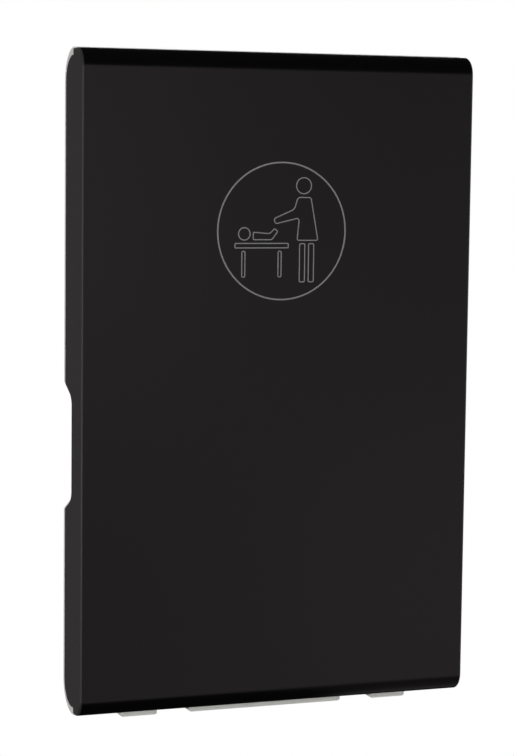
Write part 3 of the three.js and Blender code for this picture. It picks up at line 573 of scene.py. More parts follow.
def weigh_edges(mesh, width, ruled_out):
    """Mark the sharp edges that have room for a rounding, apart from those ruled out."""
    bm = bmesh.new()
    bm.from_mesh(mesh)
    layers = bm.edges.layers.float
    weight = layers.get(BEVEL_WEIGHT) or layers.new(BEVEL_WEIGHT)
    for edge in bm.edges:
        chosen = is_sharp(edge) and edge_room(edge) > width and not any(map(ruled_out, edge.verts))
        edge[weight] = 1.0 if chosen else 0.0
    bm.to_mesh(mesh)
    bm.free()


def folded_places(piece):
    """Corners of a piece's finished faces that fold back on their neighbours."""
    bm = bmesh.new()
    bm.from_object(piece, bpy.context.evaluated_depsgraph_get())
    bmesh.ops.triangulate(bm, faces=bm.faces)
    bm.normal_update()
    folded = [edge for edge in bm.edges if len(edge.link_faces) == 2
              and edge.calc_face_angle() > FOLD_ANGLE
              and min(face.calc_area() for face in edge.link_faces) > FOLD_AREA]
    places = [vert.co.copy() for edge in folded for face in edge.link_faces for vert in face.verts]
    bm.free()
    return places


def round_where_possible(piece, width):
    """Weigh a piece's edges, and leave those sharp whose rounding would fold a face."""
    places = []
    for _ in range(FOLD_TRIES):
        tree = KDTree(len(places))
        for number, place in enumerate(places):
            tree.insert(place, number)
        tree.balance()

        def ruled_out(vert):
            return places and tree.find(vert.co)[2] < FOLD_REACH * width

        weigh_edges(piece.data, width, ruled_out)
        found = folded_places(piece)
        if not found:
            break
        places += found


def soften(piece, width, segments=2):
    """Round a piece's sharp edges as far as they have room, and keep its flats flat."""
    bevel = piece.modifiers.new("edges", "BEVEL")
    bevel.width = width
    bevel.segments = segments
    bevel.use_clamp_overlap = "thickness" in piece.modifiers
    bevel.limit_method = "ANGLE" if bevel.use_clamp_overlap else "WEIGHT"
    bevel.angle_limit = SHARP_ANGLE
    if not bevel.use_clamp_overlap:
        round_where_possible(piece, width)
    slivers = piece.modifiers.new("slivers", "WELD")
    slivers.mode = "CONNECTED"
    slivers.merge_threshold = WELD
    normals = piece.modifiers.new("flats", "WEIGHTED_NORMAL")
    normals.keep_sharp = True
    return piece


def thicken(piece, thickness, offset=-1.0):
    """Give a sheet its thickness."""
    wall = piece.modifiers.new("thickness", "SOLIDIFY")
    wall.thickness = thickness
    wall.offset = offset
    wall.use_even_offset = True
    return piece


def welded_copy(node):
    """A CAD node's mesh with its loose triangles joined and its flats cleaned."""
    bm = bmesh.new()
    bm.from_mesh(frame["nodes"][node].data)
    bmesh.ops.remove_doubles(bm, verts=bm.verts, dist=WELD)
    bmesh.ops.dissolve_limit(bm, angle_limit=FLAT_ANGLE, verts=bm.verts, edges=bm.edges)
    return bm


def stand_for(node, bm, finish, edge):
    """A piece with softened edges that stands for a CAD node."""
    body = frame["nodes"][node]["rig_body"]
    return soften(add_piece(bm, f"{node}_finished", finish, body, [node]), edge)


def dressed_copy(node, finish, edge):
    """A welded copy of a CAD node with softened edges, which stands for the node."""
    return stand_for(node, welded_copy(node), finish, edge)


def refine_facets(bm, chosen, offset):
    """Split the shallow ridges of a faceted round into finer ones."""
    ridges = [edge for edge in bm.edges if len(edge.link_faces) == 2 and chosen(edge)
              and FACET_LOW < edge.calc_face_angle() < FACET_HIGH]
    round_edges(bm, ridges, offset, 2)
    bmesh.ops.remove_doubles(bm, verts=bm.verts, dist=WELD)


# Cover


def cover_sheet(sizes):
    """The outer skin of the cover: a rolled strip with a flange on each side."""
    bm = bmesh.new()
    bend = bm.faces.layers.float.new("bend")
    half = COVER_HIGH.x
    front = COVER_LOW.y + sizes.print_depth
    low, high = COVER_LOW.z, COVER_HIGH.z
    top_rear = COVER_LOW.y + sizes.top_return
    bottom_rear = COVER_LOW.y + sizes.bottom_return
    profile = [(bottom_rear, low), (front, low), (front, high), (top_rear, high)]
    sweep(bm, [(-half, y, z) for y, z in profile], (2 * half, 0, 0))
    rolls = [edge for edge in bm.edges if len(edge.link_faces) == 2]
    round_edges(bm, rolls, sizes.end_bend, 14)
    for _, side in SIDES:
        add_flange(bm, sizes, side * half, top_rear, bottom_rear)
    bends = [edge for edge in bm.edges if len(edge.link_faces) == 2
             and any(abs(face.normal.x) > 0.9 for face in edge.link_faces)]
    bmesh.ops.recalc_face_normals(bm, faces=bm.faces)
    # Mark the bend faces, which the coat paints paler as a painted highlight.
    for face in round_edges(bm, bends, sizes.side_bend, 5):
        face[bend] = 1.0
    facing = max(bm.faces, key=lambda face: face.calc_area())
    if facing.normal.y > 0:
        bmesh.ops.reverse_faces(bm, faces=bm.faces)
    return bm


def add_flange(bm, sizes, x, top_rear, bottom_rear):
    """A side flange on the strip's end, with rounded rear corners and a finger notch."""
    rear = COVER_HIGH.y
    low = COVER_LOW.z + sizes.flange_step
    high = COVER_HIGH.z - sizes.flange_step
    middle = COVER_LOW.z + sizes.grip_height
    notch = rear - sizes.grip_depth
    notch_high = middle + sizes.grip_length / 2
    notch_low = middle - sizes.grip_length / 2
    rim = [vert for vert in bm.verts if abs(vert.co.x - x) < WELD]
    ordered = chain_order(rim, Vector((x, bottom_rear, COVER_LOW.z)))
    outline = [(top_rear, high), (rear, high), (rear, notch_high), (notch, notch_high - sizes.grip_slant),
               (notch, notch_low + sizes.grip_slant), (rear, notch_low), (rear, low), (bottom_rear, low)]
    added = [bm.verts.new((x, y, z)) for y, z in outline]
    bm.faces.new([*ordered, *added]).normal_update()
    lean = math.atan2(sizes.grip_slant, sizes.grip_depth)
    lips = [added[2], added[5]]
    inner = [added[3], added[4]]
    round_corners(bm, [added[1], added[6]], sizes.flange_corner, 10)
    round_corners(bm, lips, sizes.grip_lip, 6)
    round_corners(bm, inner, sizes.grip_corner * math.tan(math.pi / 4 - lean / 2), 10)


def chain_order(verts, start):
    """Vertices of an open edge loop in order, from the one nearest a start point."""
    left = set(verts)
    current = min(left, key=lambda vert: (vert.co - start).length)
    ordered = [current]
    left.discard(current)
    while left:
        current = min(left, key=lambda vert: (vert.co - current.co).length)
        ordered.append(current)
        left.discard(current)
    return ordered


class STATION_OT_cover(Operator):
    """Build the black sheet-steel cover"""

    bl_idname = "station.cover"
    bl_label = "Cover"

    def execute(self, context):
        sizes = context.scene.cover_sizes
        piece = add_piece(cover_sheet(sizes), "cover_sheet", powder_coat(), "bed",
                          ["front_cover"])
        thicken(piece, sizes.sheet)
        soften(piece, context.scene.fitting_sizes.pressed_edge)
        return {"FINISHED"}


# Symbol


def outlined(bm, face, stroke):
    """Leave only a line of the stroke's width along a face's edge."""
    bmesh.ops.inset_individual(bm, faces=[face], thickness=stroke, use_even_offset=True)
    bm.faces.remove(face)


def outline_shape(bm, points, radius, stroke):
    """A closed line through points with rounded corners."""
    others = set(bm.faces)
    face = flat_face(bm, [(x * MM, 0, z * MM) for x, z in points])
    round_corners(bm, list(face.verts), radius * MM, 6)
    face = next(found for found in bm.faces if found not in others)
    outlined(bm, face, stroke)


def outline_circle(bm, x, z, radius, stroke):
    """A closed round line."""
    others = set(bm.faces)
    turn = Matrix.Translation((x, 0, z)) @ Matrix.Rotation(math.pi / 2, 4, "X")
    bmesh.ops.create_circle(bm, cap_ends=True, radius=radius, segments=72, matrix=turn)
    face = next(found for found in bm.faces if found not in others)
    outlined(bm, face, stroke)


def changing_symbol(sizes):
    """A grown-up who leans over a table with a baby lying on it, inside a ring, about its middle."""
    bm = bmesh.new()
    stroke = sizes.figure_stroke
    outline_circle(bm, 0, 0, sizes.ring_radius, sizes.ring_stroke)
    outline_circle(bm, 31 * MM, 61 * MM, 11.5 * MM, stroke)
    outline_circle(bm, -54 * MM, -3.5 * MM, 9 * MM, stroke)
    tunic = [(22, 46), (42, 46), (53, -13), (21, -13), (24, 17), (-10, 9), (-13, 17), (17, 30)]
    outline_shape(bm, tunic, 3.6, stroke)
    baby = [(-42, -12), (-14, -12), (-5, 0), (-11, 4.5), (-18, -2.5), (-42, -0.5)]
    outline_shape(bm, baby, 2.2, stroke)
    outline_shape(bm, [(-68, -23), (10, -23), (10, -15.5), (-68, -15.5)], 1.6, stroke)
    for low_x, high_x, low_z, high_z in ((-58, -52, -62, -26), (-6, 0, -62, -26),
                                         (25, 34, -69, -16), (38, 47, -69, -16)):
        leg = [(low_x, low_z), (high_x, low_z), (high_x, high_z), (low_x, high_z)]
        outline_shape(bm, leg, 2.6, stroke)
    front = COVER_LOW.y + sizes.print_depth / 2
    bmesh.ops.translate(bm, verts=bm.verts, vec=(0, front, COVER_LOW.z + sizes.ring_height))
    bmesh.ops.recalc_face_normals(bm, faces=bm.faces)
    return bm


class STATION_OT_symbol(Operator):
    """Print the changing symbol on the cover"""

    bl_idname = "station.symbol"
    bl_label = "Symbol"

    def execute(self, context):
        sizes = context.scene.cover_sizes
        piece = add_piece(changing_symbol(sizes), "changing_symbol", printed_ink(), "bed")
        thicken(piece, sizes.print_depth * 0.9, 0.0)
        return {"FINISHED"}


# Mouldings and steel


def quarter_steps(count):
    """Sines and cosines of the steps of a quarter turn."""
    return [(math.sin(step / count * math.pi / 2), math.cos(step / count * math.pi / 2))
            for step in range(count + 1)]


def tub_profile(sizes):
    """Depth and inset of each ring of the tub, from the rim to the floor."""
    wall = sizes.tub_lip + sizes.tub_draft
    lip = [(sizes.tub_lip * (1 - cosine), sizes.tub_lip * sine) for sine, cosine in quarter_steps(6)]
    fillet = [(sizes.tub_depth - sizes.tub_fillet * (1 - sine), wall + sizes.tub_fillet * (1 - cosine))
              for sine, cosine in quarter_steps(10)]
    return [*lip, *fillet]


def smooth_bed(sizes):
    """The bed's moulding, with a smooth tub in place of the faceted one."""
    bm = welded_copy("bed_shell")
    half = SHELL_HIGH.x - sizes.side_rim
    end = COVER_HIGH.z - sizes.end_rim
    rear = SHELL_HIGH.y
    near = 5 * WELD
    deepest = rear - sizes.tub_depth - sizes.saddle_depth

    def in_tub(vert):
        return abs(vert.co.x) < half + near and abs(vert.co.z) < end + near and vert.co.y > deepest - near

    def on_rim(vert):
        return abs(vert.co.y - rear) < near

    old = [face for face in bm.faces if all(map(in_tub, face.verts)) or all(map(on_rim, face.verts))]
    bmesh.ops.delete(bm, geom=old, context="FACES")
    floor = rounded_face(bm, -half, half, -end, end, rear, sizes.tub_corner, 16)
    profile = tub_profile(sizes)
    for (depth, inset), (next_depth, next_inset) in zip(profile, profile[1:]):
        bmesh.ops.inset_individual(bm, faces=[floor], thickness=next_inset - inset,
                                   depth=next_depth - depth, use_even_offset=True)
    sink_saddle(bm, floor, sizes)
    rims = [edge for edge in bm.edges if edge.is_boundary and all(map(on_rim, edge.verts))]
    bmesh.ops.triangle_fill(bm, use_beauty=True, edges=rims)
    bmesh.ops.recalc_face_normals(bm, faces=bm.faces)
    bend = SHELL_HIGH.z - sizes.bed_corner

    def on_end(edge):
        first, second = (vert.co for vert in edge.verts)
        along = abs(first.x - second.x) > 0.99 * edge.calc_length()
        out = Vector((first.y - rear + sizes.bed_corner, abs(first.z) - bend))
        return along and min(out) > -near and abs(out.length - sizes.bed_corner) < 2 * near

    refine_facets(bm, on_end, sizes.bed_corner * 0.08)
    bmesh.ops.dissolve_limit(bm, angle_limit=FLAT_ANGLE, verts=bm.verts, edges=bm.edges)
    return bm


def sink_saddle(bm, floor, sizes):
    """Sink a shallow band across the tub's floor for the strap."""
    low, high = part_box("strap_anchor_left")
    ends = (low.z - sizes.saddle_spare, high.z + sizes.saddle_spare)
    level = floor.verts[0].co.y
    parts = [floor]
    for z in ends:
        geom = {item for face in parts for item in (face, *face.edges, *face.verts)}
        made = bmesh.ops.bisect_plane(bm, geom=list(geom), plane_co=(0, 0, z), plane_no=(0, 0, 1))
        parts = [item for item in made["geom"] if isinstance(item, bmesh.types.BMFace)]
    band = next(face for face in parts if ends[0] < face.calc_center_median().z < ends[1])
    sunk = bmesh.ops.extrude_face_region(bm, geom=[band])["geom"]
    moved = [item for item in sunk if isinstance(item, bmesh.types.BMVert)]
    bmesh.ops.translate(bm, verts=moved, vec=(0, -sizes.saddle_depth, 0))
    if band.is_valid and abs(band.verts[0].co.y - level) < WELD:
        bm.faces.remove(band)


def smooth_chassis(sizes):
    """The chassis moulding, with finer corners."""
    bm = welded_copy("wall_chassis")
    low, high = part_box("wall_chassis")
    middle = (low.z + high.z) / 2

    def on_corner(edge):
        first, second = (vert.co for vert in edge.verts)
        centre_x = high.x - sizes.chassis_corner
        centre_z = high.z - sizes.chassis_corner
        spots = [(abs(point.x) - centre_x, point.z - centre_z) for point in (first, second)]
        if min(min(spot) for spot in spots) < sizes.chassis_corner * 0.05 or first.z < middle:
            return False
        angles = [math.atan2(z, x) for x, z in spots]
        return abs(angles[0] - angles[1]) < math.radians(1)

    refine_facets(bm, on_corner, sizes.chassis_corner * 0.07)
    return bm


class STATION_OT_mouldings(Operator):
    """Finish the bed, the chassis and their white fittings"""

    bl_idname = "station.mouldings"
    bl_label = "Mouldings"

    def execute(self, context):
        edge = context.scene.fitting_sizes.moulded_edge
        sizes = context.scene.bed_sizes
        stand_for("bed_shell", smooth_bed(sizes), moulded_white(), edge)
        stand_for("wall_chassis", smooth_chassis(sizes), moulded_chassis(), edge)
        nodes = ["foot_cap", "liner_pocket"]
        nodes += [f"fixing_cap_{number}" for number in (1, 2, 3, 4)]
        nodes += [f"{piece}_{word}" for piece in ("shaft_plug", "bag_hook") for word, _ in SIDES]
        for node in nodes:
            dressed_copy(node, moulded_chassis(), edge)
        return {"FINISHED"}


class STATION_OT_hardware(Operator):
    """Finish the steel plate, the hinge line, the bushes and the bumpers"""

    bl_idname = "station.hardware"
    bl_label = "Hinge and plate"

    def execute(self, context):
        sizes = context.scene.fitting_sizes
        edge = sizes.pressed_edge
        dressed_copy("wall_plate", zinc_plating(), edge)
        dressed_copy("hinge_shaft", ground_steel(), edge)
        for word, _ in SIDES:
            for piece in ("stiffener", "bed_knuckle", "hinge_cartridge"):
                dressed_copy(f"{piece}_{word}", zinc_plating(), edge)
            for piece in ("lug_bush", "foot_bush", "cartridge_hub"):
                dressed_copy(f"{piece}_{word}", moulded_grey(), sizes.bush_edge)
        for number in (1, 2, 3, 4):
            dressed_copy(f"bumper_{number}", bumper_rubber(), edge)
        return {"FINISHED"}


# Screws


def screw_head(bm, sizes, place, outward):
    """A pan-head screw with a hexagon socket, its head standing out along +Y or -Y."""
    head = bmesh.new()
    radius, height = sizes.screw_radius, sizes.screw_height
    dome = [(radius, 0), (radius, height * 0.45), (radius * 0.8, height * 0.85), (radius * 0.55, height)]
    chain = [head.verts.new((r, 0, z)) for r, z in dome]
    edges = [head.edges.new(pair) for pair in zip(chain, chain[1:])]
    bmesh.ops.spin(head, geom=[*chain, *edges], cent=(0, 0, 0), axis=(0, 0, 1), angle=math.tau,
                   steps=24, use_merge=True)
    rim = [edge for edge in head.edges if edge.is_boundary and edge.verts[0].co.z > height * 0.9]
    socket = bmesh.ops.create_circle(head, cap_ends=False, radius=radius * 0.42, segments=6,
                                     matrix=Matrix.Translation((0, 0, height)))["verts"]
    sides = list({edge for vert in socket for edge in vert.link_edges})
    bmesh.ops.subdivide_edges(head, edges=sides, cuts=3)
    hexagon = [edge for edge in head.edges if edge.is_wire]
    bmesh.ops.triangle_fill(head, use_beauty=True, edges=[*rim, *hexagon])
    lip = [edge for edge in head.edges if edge.is_boundary and edge.verts[0].co.z > height * 0.9]
    walls = bmesh.ops.extrude_edge_only(head, edges=lip)["geom"]
    sunk = [item for item in walls if isinstance(item, bmesh.types.BMVert)]
    bmesh.ops.translate(head, verts=sunk, vec=(0, 0, -height * 0.7))
    bmesh.ops.holes_fill(head, edges=[edge for edge in head.edges if edge.is_boundary], sides=0)
    bmesh.ops.recalc_face_normals(head, faces=head.faces)
    turn = Matrix.Rotation(-math.pi / 2 * outward, 4, "X")
    bmesh.ops.transform(head, verts=head.verts, matrix=Matrix.Translation(place) @ turn)
    mesh = bpy.data.meshes.new("screw")
    head.to_mesh(mesh)
    head.free()
    bm.from_mesh(mesh)
    bpy.data.meshes.remove(mesh)


class STATION_OT_screws(Operator):
    """Put in the screws of the strap anchors, the hooks and the chassis"""

    bl_idname = "station.screws"
    bl_label = "Screws"

    def execute(self, context):
        sizes = context.scene.fitting_sizes
        on_bed = bmesh.new()
        on_chassis = bmesh.new()
        foot, foot_height = 6.5 * MM, 2.6 * MM
        for word, side in SIDES:
            low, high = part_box(f"strap_anchor_{word}")
            for z in (low.z + foot, high.z - foot):
                place = ((low.x + high.x) / 2, low.y + foot_height, z)
                screw_head(on_bed, sizes, place, 1)
            low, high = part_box(f"bag_hook_{word}")
            base = 4 * MM
            for drop in (9 * MM, 24 * MM):
                place = ((low.x + high.x) / 2, high.y - base, high.z - drop)
                screw_head(on_chassis, sizes, place, -1)
        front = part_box("bumper_1")[1].y + 0.3 * MM
        for z in (-240 * MM, -30 * MM, 150 * MM):
            for x in (-195 * MM, 195 * MM):
                screw_head(on_chassis, sizes, (x, front, z), -1)
        soften(add_piece(on_bed, "anchor_screws", zinc_plating(), "bed"), 0.15 * MM)
        soften(add_piece(on_chassis, "chassis_screws", zinc_plating(), "chassis"), 0.15 * MM)
        return {"FINISHED"}


# Strap and buckle


def strap_band(sizes, side, outer, held, edge):
    """A band of webbing that lies on the bed's floor and rises into the buckle."""
    word = "left" if side < 0 else "right"
    low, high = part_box(f"strap_{word}")
    thickness = sizes.webbing
    flat = low.y + thickness / 2
    raised = high.y - thickness / 2
    ramp_end = edge + side * sizes.ramp_gap
    ramp_start = ramp_end + side * sizes.ramp
    path = [(outer, flat), (ramp_start, flat), (ramp_end, raised), (held, raised)]
    bm = bmesh.new()
    sweep(bm, [(x, y, low.z) for x, y in path], (0, 0, high.z - low.z))
    kinks = [found for found in bm.edges if len(found.link_faces) == 2]
    round_edges(bm, kinks, 6 * MM, 6)
    return bm, ramp_start, flat


def add_strap(sizes, word, side):
    """One side's webbing, with its end sewn back on itself and its stitches."""
    low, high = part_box(f"strap_{word}")
    outer = low.x if side < 0 else high.x
    held = high.x if side < 0 else low.x
    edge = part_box("buckle_body")[0].x if side < 0 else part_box("buckle_tongue")[1].x
    bm, ramp_start, flat = strap_band(sizes, side, outer, held, edge)
    band = add_piece(bm, f"strap_webbing_{word}", woven_webbing(), "bed", [f"strap_{word}"])
    thicken(band, sizes.webbing, 0.0)
    soften(band, 0.35 * MM)
    start = ramp_start + side * 4 * MM
    end = start + side * sizes.lap
    level = flat + sizes.webbing
    bm = bmesh.new()
    sweep(bm, [(start, level, low.z), (end, level, low.z)], (0, 0, high.z - low.z))
    lap = add_piece(bm, f"strap_lap_{word}", woven_webbing(), "bed")
    thicken(lap, sizes.webbing * 0.94, 0.0)
    soften(lap, 0.35 * MM)
    add_stitches(sizes, word, start, end, level + sizes.webbing / 2, low.z, high.z)


def add_stitches(sizes, word, start, end, y, low_z, high_z):
    """A sewn box with a cross in it, from single stitches."""
    inset = 5 * MM
    left, right = sorted((start, end))
    left, right = left + inset, right - inset
    low, high = low_z + inset, high_z - inset
    corners = [(left, low), (right, low), (right, high), (left, high)]
    lines = list(zip(corners, [*corners[1:], corners[0]]))
    lines += [(corners[0], corners[2]), (corners[1], corners[3])]
    bm = bmesh.new()
    for start_point, end_point in lines:
        add_stitch_line(bm, sizes.stitch, Vector(start_point), Vector(end_point), y)
    piece = add_piece(bm, f"strap_stitches_{word}", sewing_thread(), "bed")
    soften(piece, 0.12 * MM)


def add_stitch_line(bm, stitch, start, end, y):
    """Stitches along a straight line on a face."""
    run = end - start
    count = max(1, round(run.length / (stitch * 1.35)))
    turn = Matrix.Rotation(-math.atan2(run.y, run.x), 4, "Y")
    size = Matrix.Diagonal((stitch, 0.5 * MM, 0.65 * MM, 1))
    for number in range(count):
        middle = start + run * ((number + 0.5) / count)
        place = Matrix.Translation((middle.x, y, middle.y))
        bmesh.ops.create_cube(bm, size=1, matrix=place @ turn @ size)


def buckle_block(low, high, corner, crown):
    """A block with rounded corners and a crowned top towards +Y."""
    bm = bmesh.new()
    face = rounded_face(bm, low.x, high.x, low.z, high.z, low.y, corner, 6)
    top = extrude_face(bm, face, (0, high.y - low.y, 0))
    bmesh.ops.recalc_face_normals(bm, faces=bm.faces)
    round_edges(bm, list(top.edges), crown, 4)
    return bm


def buckle_body():
    """The buckle's body, with a sunk panel and the well that its button slides in."""
    low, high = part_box("buckle_body")
    button_low, button_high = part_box("buckle_button")
    gap = 0.3 * MM
    sink = 0.7 * MM
    bm = bmesh.new()
    face = rounded_face(bm, low.x, high.x, low.z, high.z, low.y, 7 * MM, 6)
    top = extrude_face(bm, face, (0, high.y - low.y, 0))
    outer = list(top.edges)
    bmesh.ops.recalc_face_normals(bm, faces=bm.faces)
    bmesh.ops.inset_individual(bm, faces=[top], thickness=5.4 * MM, use_even_offset=True)
    bmesh.ops.inset_individual(bm, faces=[top], thickness=0.8 * MM, depth=-sink, use_even_offset=True)
    panel = list(top.edges)
    bm.faces.remove(top)
    well = rounded_face(bm, button_low.x - gap, button_high.x + gap, button_low.z - gap,
                        button_high.z + gap, high.y - sink, 3 * MM, 6)
    bmesh.ops.triangle_fill(bm, use_beauty=True, edges=[*panel, *well.edges])
    sunk = bmesh.ops.extrude_face_region(bm, geom=[well])["geom"]
    floor = [item for item in sunk if isinstance(item, bmesh.types.BMVert)]
    bmesh.ops.translate(bm, verts=floor, vec=(0, -6.3 * MM, 0))
    if well.is_valid:
        bm.faces.remove(well)
    bmesh.ops.recalc_face_normals(bm, faces=bm.faces)
    round_edges(bm, [edge for edge in outer if edge.is_valid], 2.6 * MM, 4)
    return bm


class STATION_OT_strap(Operator):
    """Make the safety strap, its anchors and its buckle"""

    bl_idname = "station.strap"
    bl_label = "Strap and buckle"

    def execute(self, context):
        sizes = context.scene.fitting_sizes
        for word, side in SIDES:
            add_strap(sizes, word, side)
            dressed_copy(f"strap_anchor_{word}", moulded_grey(), sizes.moulded_edge)
        body = add_piece(buckle_body(), "buckle_housing", moulded_black(), "bed",
                         ["buckle_body"])
        soften(body, 0.4 * MM)
        dressed_copy("buckle_tongue", moulded_black(), sizes.moulded_edge)
        low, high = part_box("buckle_button")
        button = buckle_block(low, high, 3 * MM, 0.8 * MM)
        soften(add_piece(button, "push_button", glossy_red(), "button",
                         ["buckle_button"]), 0.2 * MM)
        return {"FINISHED"}


# Liners


def folded_liner(bm, low, high, front, rear, drop):
    """One liner folded in two, with its fold at the top."""
    top = high.z - drop
    points = [(front, low.z), (front, top), (rear, top), (rear, low.z)]
    fold = bmesh.new()
    sweep(fold, [(low.x, y, z) for y, z in points], (high.x - low.x, 0, 0))
    bends = [edge for edge in fold.edges if len(edge.link_faces) == 2]
    round_edges(fold, bends, (rear - front) / 2 * 0.85, 5)
    mesh = bpy.data.meshes.new("liner")
    fold.to_mesh(mesh)
    fold.free()
    bm.from_mesh(mesh)
    bpy.data.meshes.remove(mesh)


class STATION_OT_liners(Operator):
    """Fill the pocket with folded paper liners"""

    bl_idname = "station.liners"
    bl_label = "Liners"

    def execute(self, context):
        count = context.scene.fitting_sizes.liner_count
        low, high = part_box("liner_stack")
        draw = random.Random(4)
        bm = bmesh.new()
        pitch = (high.y - low.y) / count
        paper = 0.5 * MM
        for number in range(count):
            front = low.y + number * pitch + paper
            rear = front + pitch - 2 * paper
            side = draw.uniform(0, 2.5) * MM
            corner_low = Vector((low.x + side, low.y, low.z))
            corner_high = Vector((high.x - draw.uniform(0, 2.5) * MM, high.y, high.z))
            folded_liner(bm, corner_low, corner_high, front, rear, draw.uniform(0, 5) * MM)
        piece = add_piece(bm, "paper_liners", tissue_paper(), "chassis", ["liner_stack"])
        thicken(piece, paper, 0.0)
        return {"FINISHED"}


# Stage


def aim(thing, target):
    """Turn a lamp's light towards a point."""
    thing.rotation_euler = (Vector(target) - thing.location).to_track_quat("-Z", "Y").to_euler()


def add_lamp(name, place, target, width, height, power):
    """A softbox."""
    data = bpy.data.lights.new(name, "AREA")
    data.shape = "RECTANGLE"
    data.size = width
    data.size_y = height
    data.energy = power
    lamp = bpy.data.objects.new(name, data)
    bpy.context.scene.collection.objects.link(lamp)
    lamp.location = place
    aim(lamp, target)
    return lamp


def seen_directly(shader):
    """1 for rays that show the background itself, 0 for those that gather its light."""
    path = shader.node("ShaderNodeLightPath")
    names = ("Is Glossy Ray", "Is Transmission Ray")
    return sum((path.output(name) for name in names), path.output("Is Camera Ray")).clamped()


def floor_finish():
    """A pale floor near the station that turns into the white background further out."""
    shader = Shader(bpy.data.materials.new("pale_floor"))
    where = shader.place((1, 1, 0))
    out = shader.node("ShaderNodeVectorMath", {"operation": "LENGTH"}, {0: where}).output("Value")
    far = shader.node("ShaderNodeMapRange", {"interpolation_type": "SMOOTHSTEP"},
                      {"Value": out, "From Min": 0.9, "From Max": 2.3})
    grain = shader.noise(60, 3)
    lit = shader.node("ShaderNodeBsdfDiffuse", {},
                      {"Color": shader.mix(grain, (0.80, 0.80, 0.795), (0.83, 0.83, 0.825))})
    white = shader.node("ShaderNodeEmission", {}, {"Color": (1, 1, 1, 1), "Strength": 1.0})
    both = shader.node("ShaderNodeMixShader", {}, {0: far * seen_directly(shader), 1: lit, 2: white})
    shader.node("ShaderNodeOutputMaterial", {}, {"Surface": both})
    return shader.owner


def add_floor(drop):
    """A wide round floor below the station."""
    bm = bmesh.new()
    bmesh.ops.create_circle(bm, cap_ends=True, radius=40, segments=96,
                            matrix=Matrix.Translation((0, 0, -drop)))
    mesh = bpy.data.meshes.new("floor")
    bm.to_mesh(mesh)
    bm.free()
    mesh.materials.append(floor_finish())
    floor = bpy.data.objects.new("floor", mesh)
    bpy.context.scene.collection.objects.link(floor)


def add_card(name, place, width, height, tilt, turn, level, tint=(1, 0.94, 0.95, 1)):
    """A studio card out of sight of the camera, which the cover mirrors."""
    bm = bmesh.new()
    bmesh.ops.create_grid(bm, x_segments=1, y_segments=1, size=0.5)
    pose = Matrix.Rotation(turn, 4, "Z") @ Matrix.Rotation(tilt, 4, "X")
    pose = Matrix.Translation(place) @ pose @ Matrix.Diagonal((width, height, 1, 1))
    bmesh.ops.transform(bm, verts=bm.verts, matrix=pose)
    mesh = bpy.data.meshes.new(name)
    bm.to_mesh(mesh)
    bm.free()
    shader = Shader(bpy.data.materials.new(name))
    glow = shader.node("ShaderNodeEmission", {}, {"Color": tint, "Strength": level})
    shader.node("ShaderNodeOutputMaterial", {}, {"Surface": glow})
    mesh.materials.append(shader.owner)
    card = bpy.data.objects.new(name, mesh)
    bpy.context.scene.collection.objects.link(card)
    card.visible_camera = False
    card.visible_shadow = False
    card.visible_diffuse = False


def set_world(ambient):
    """White all round at eye level, darker overhead, and a dimmer light for what it falls on."""
    world = bpy.data.worlds.new("studio")
    bpy.context.scene.world = world
    shader = Shader(world)
    direction = shader.node("ShaderNodeTexCoord").output("Generated")
    height = shader.node("ShaderNodeSeparateXYZ", {}, {"Vector": direction}).output("Z")
    level = shader.node("ShaderNodeMapRange", {"interpolation_type": "SMOOTHSTEP"},
                        {"Value": height, "From Min": 0.06, "From Max": 0.22,
                         "To Min": 1.0, "To Max": 0.02})
    lights = shader.node("ShaderNodeBackground", {}, {"Color": (1, 1, 1, 1), "Strength": ambient})
    shown = shader.node("ShaderNodeBackground", {}, {"Color": (1, 1, 1, 1), "Strength": level})
    both = shader.node("ShaderNodeMixShader", {}, {0: seen_directly(shader), 1: lights, 2: shown})
    shader.node("ShaderNodeOutputWorld", {}, {"Surface": both})


def add_camera(stage):
    """The camera at the photograph's angle."""
    data = bpy.data.cameras.new("camera")
    data.lens = stage.lens
    data.sensor_width = 36
    data.shift_y = stage.rise
    camera = bpy.data.objects.new("camera", data)
    bpy.context.scene.collection.objects.link(camera)
    turn = Matrix.Rotation(-stage.yaw, 4, "Z") @ Matrix.Rotation(math.pi / 2 - stage.dip, 4, "X")
    turn = turn @ Matrix.Rotation(stage.roll, 4, "Z")
    camera.matrix_world = Matrix.Translation(stage.camera) @ turn
    bpy.context.scene.camera = camera


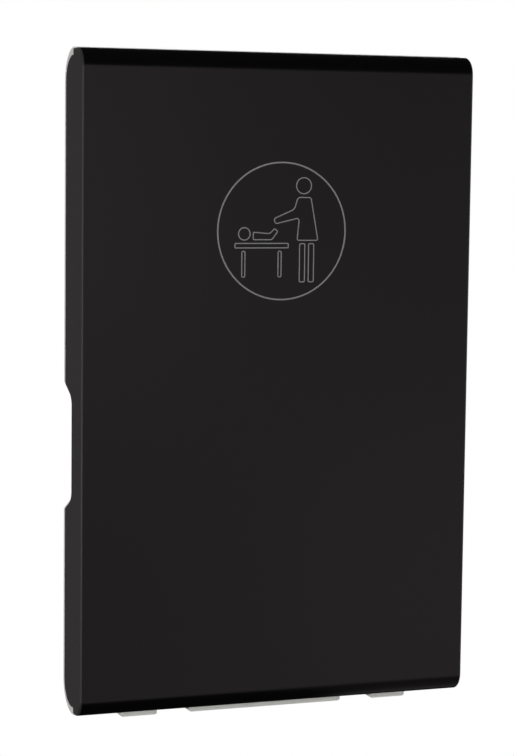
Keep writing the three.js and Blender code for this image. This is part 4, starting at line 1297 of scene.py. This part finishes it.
class STATION_OT_stage(Operator):
    """Set up the camera, the floor and the lamps"""

    bl_idname = "station.stage"
    bl_label = "Stage"

    def execute(self, context):
        stage = context.scene.stage_sizes
        add_camera(stage)
        add_floor(stage.floor_drop)
        set_world(stage.ambient)
        middle = (0, -0.08, 0)
        add_lamp("key", (-2.6, -2.35, -0.1), middle, 0.8, 2.2, stage.key)
        add_lamp("fill", (3.2, -1.3, 0.4), middle, 1.6, 1.6, stage.fill)
        add_lamp("back", (1.6, 2.4, 1.0), middle, 1.6, 1.6, stage.back)
        overhead = add_lamp("overhead", (-0.3, -0.9, 2.6), middle, 1.8, 1.8, stage.overhead)
        overhead.visible_glossy = False
        upright = math.pi / 2
        add_card("side_card", (-1.05, 0.9, 0.0), 1.5, 3.0, upright, 0.0, 0.2)
        add_card("low_card", (0.4, 0.75, -0.8), 3.0, 3.0, 0.0, 0.0, 0.01)
        add_card("low_right_card", (1.075, -0.315, -0.79), 1.65, 0.87, 0.0, 0.0, 0.24)
        add_card("right_card", (1.5, 1.3, 0.0), 3.2, 4.0, upright, math.radians(-49), 0.02)
        white = (1, 1, 1, 1)
        add_card("high_glow", (0.5, -3.12, 0.35), 0.7, 1.2, upright, 0.0, 1.4, white)
        add_card("low_glow", (1.75, -3.12, -0.95), 0.9, 0.9, upright, 0.0, 1.2, white)
        add_card("high_shade", (1.7, -3.12, 0.2), 0.8, 0.9, upright, 0.0, 0.86, white)
        add_card("low_shade", (0.45, -3.12, -1.1), 0.8, 0.9, upright, 0.0, 0.82, white)
        context.scene.view_settings.view_transform = "Standard"
        return {"FINISHED"}


OPERATORS = (
    STATION_OT_stage,
    STATION_OT_cover,
    STATION_OT_symbol,
    STATION_OT_mouldings,
    STATION_OT_hardware,
    STATION_OT_strap,
    STATION_OT_screws,
    STATION_OT_liners,
)
GROUPS = (
    ("cover_sizes", CoverSizes),
    ("bed_sizes", BedSizes),
    ("fitting_sizes", FittingSizes),
    ("finishes", Finishes),
    ("stage_sizes", StageSizes),
)


class STATION_PT_sidebar(Panel):
    """Buttons and sizes of the changing station"""

    bl_label = "Changing station"
    bl_idname = "STATION_PT_sidebar"
    bl_space_type = "VIEW_3D"
    bl_region_type = "UI"
    bl_category = "Changing station"

    def draw(self, context):
        for operator in OPERATORS:
            self.layout.operator(operator.bl_idname)
        for name, group in GROUPS:
            column = self.layout.column(heading=name.replace("_", " ").capitalize())
            for prop in group.__annotations__:
                column.prop(getattr(context.scene, name), prop)


def register():
    """Register the groups, the operators and the panel."""
    for name, group in GROUPS:
        bpy.utils.register_class(group)
        setattr(bpy.types.Scene, name, PointerProperty(type=group))
    for item in (*OPERATORS, STATION_PT_sidebar):
        bpy.utils.register_class(item)


def unregister():
    """Take everything that register added away again."""
    for item in reversed((*OPERATORS, STATION_PT_sidebar)):
        bpy.utils.unregister_class(item)
    for name, group in reversed(GROUPS):
        delattr(bpy.types.Scene, name)
        bpy.utils.unregister_class(group)


def main():
    """Build the station."""
    register()
    for operator in OPERATORS:
        category, name = operator.bl_idname.split(".")
        getattr(getattr(bpy.ops, category), name)()


if __name__ == "__main__":
    main()
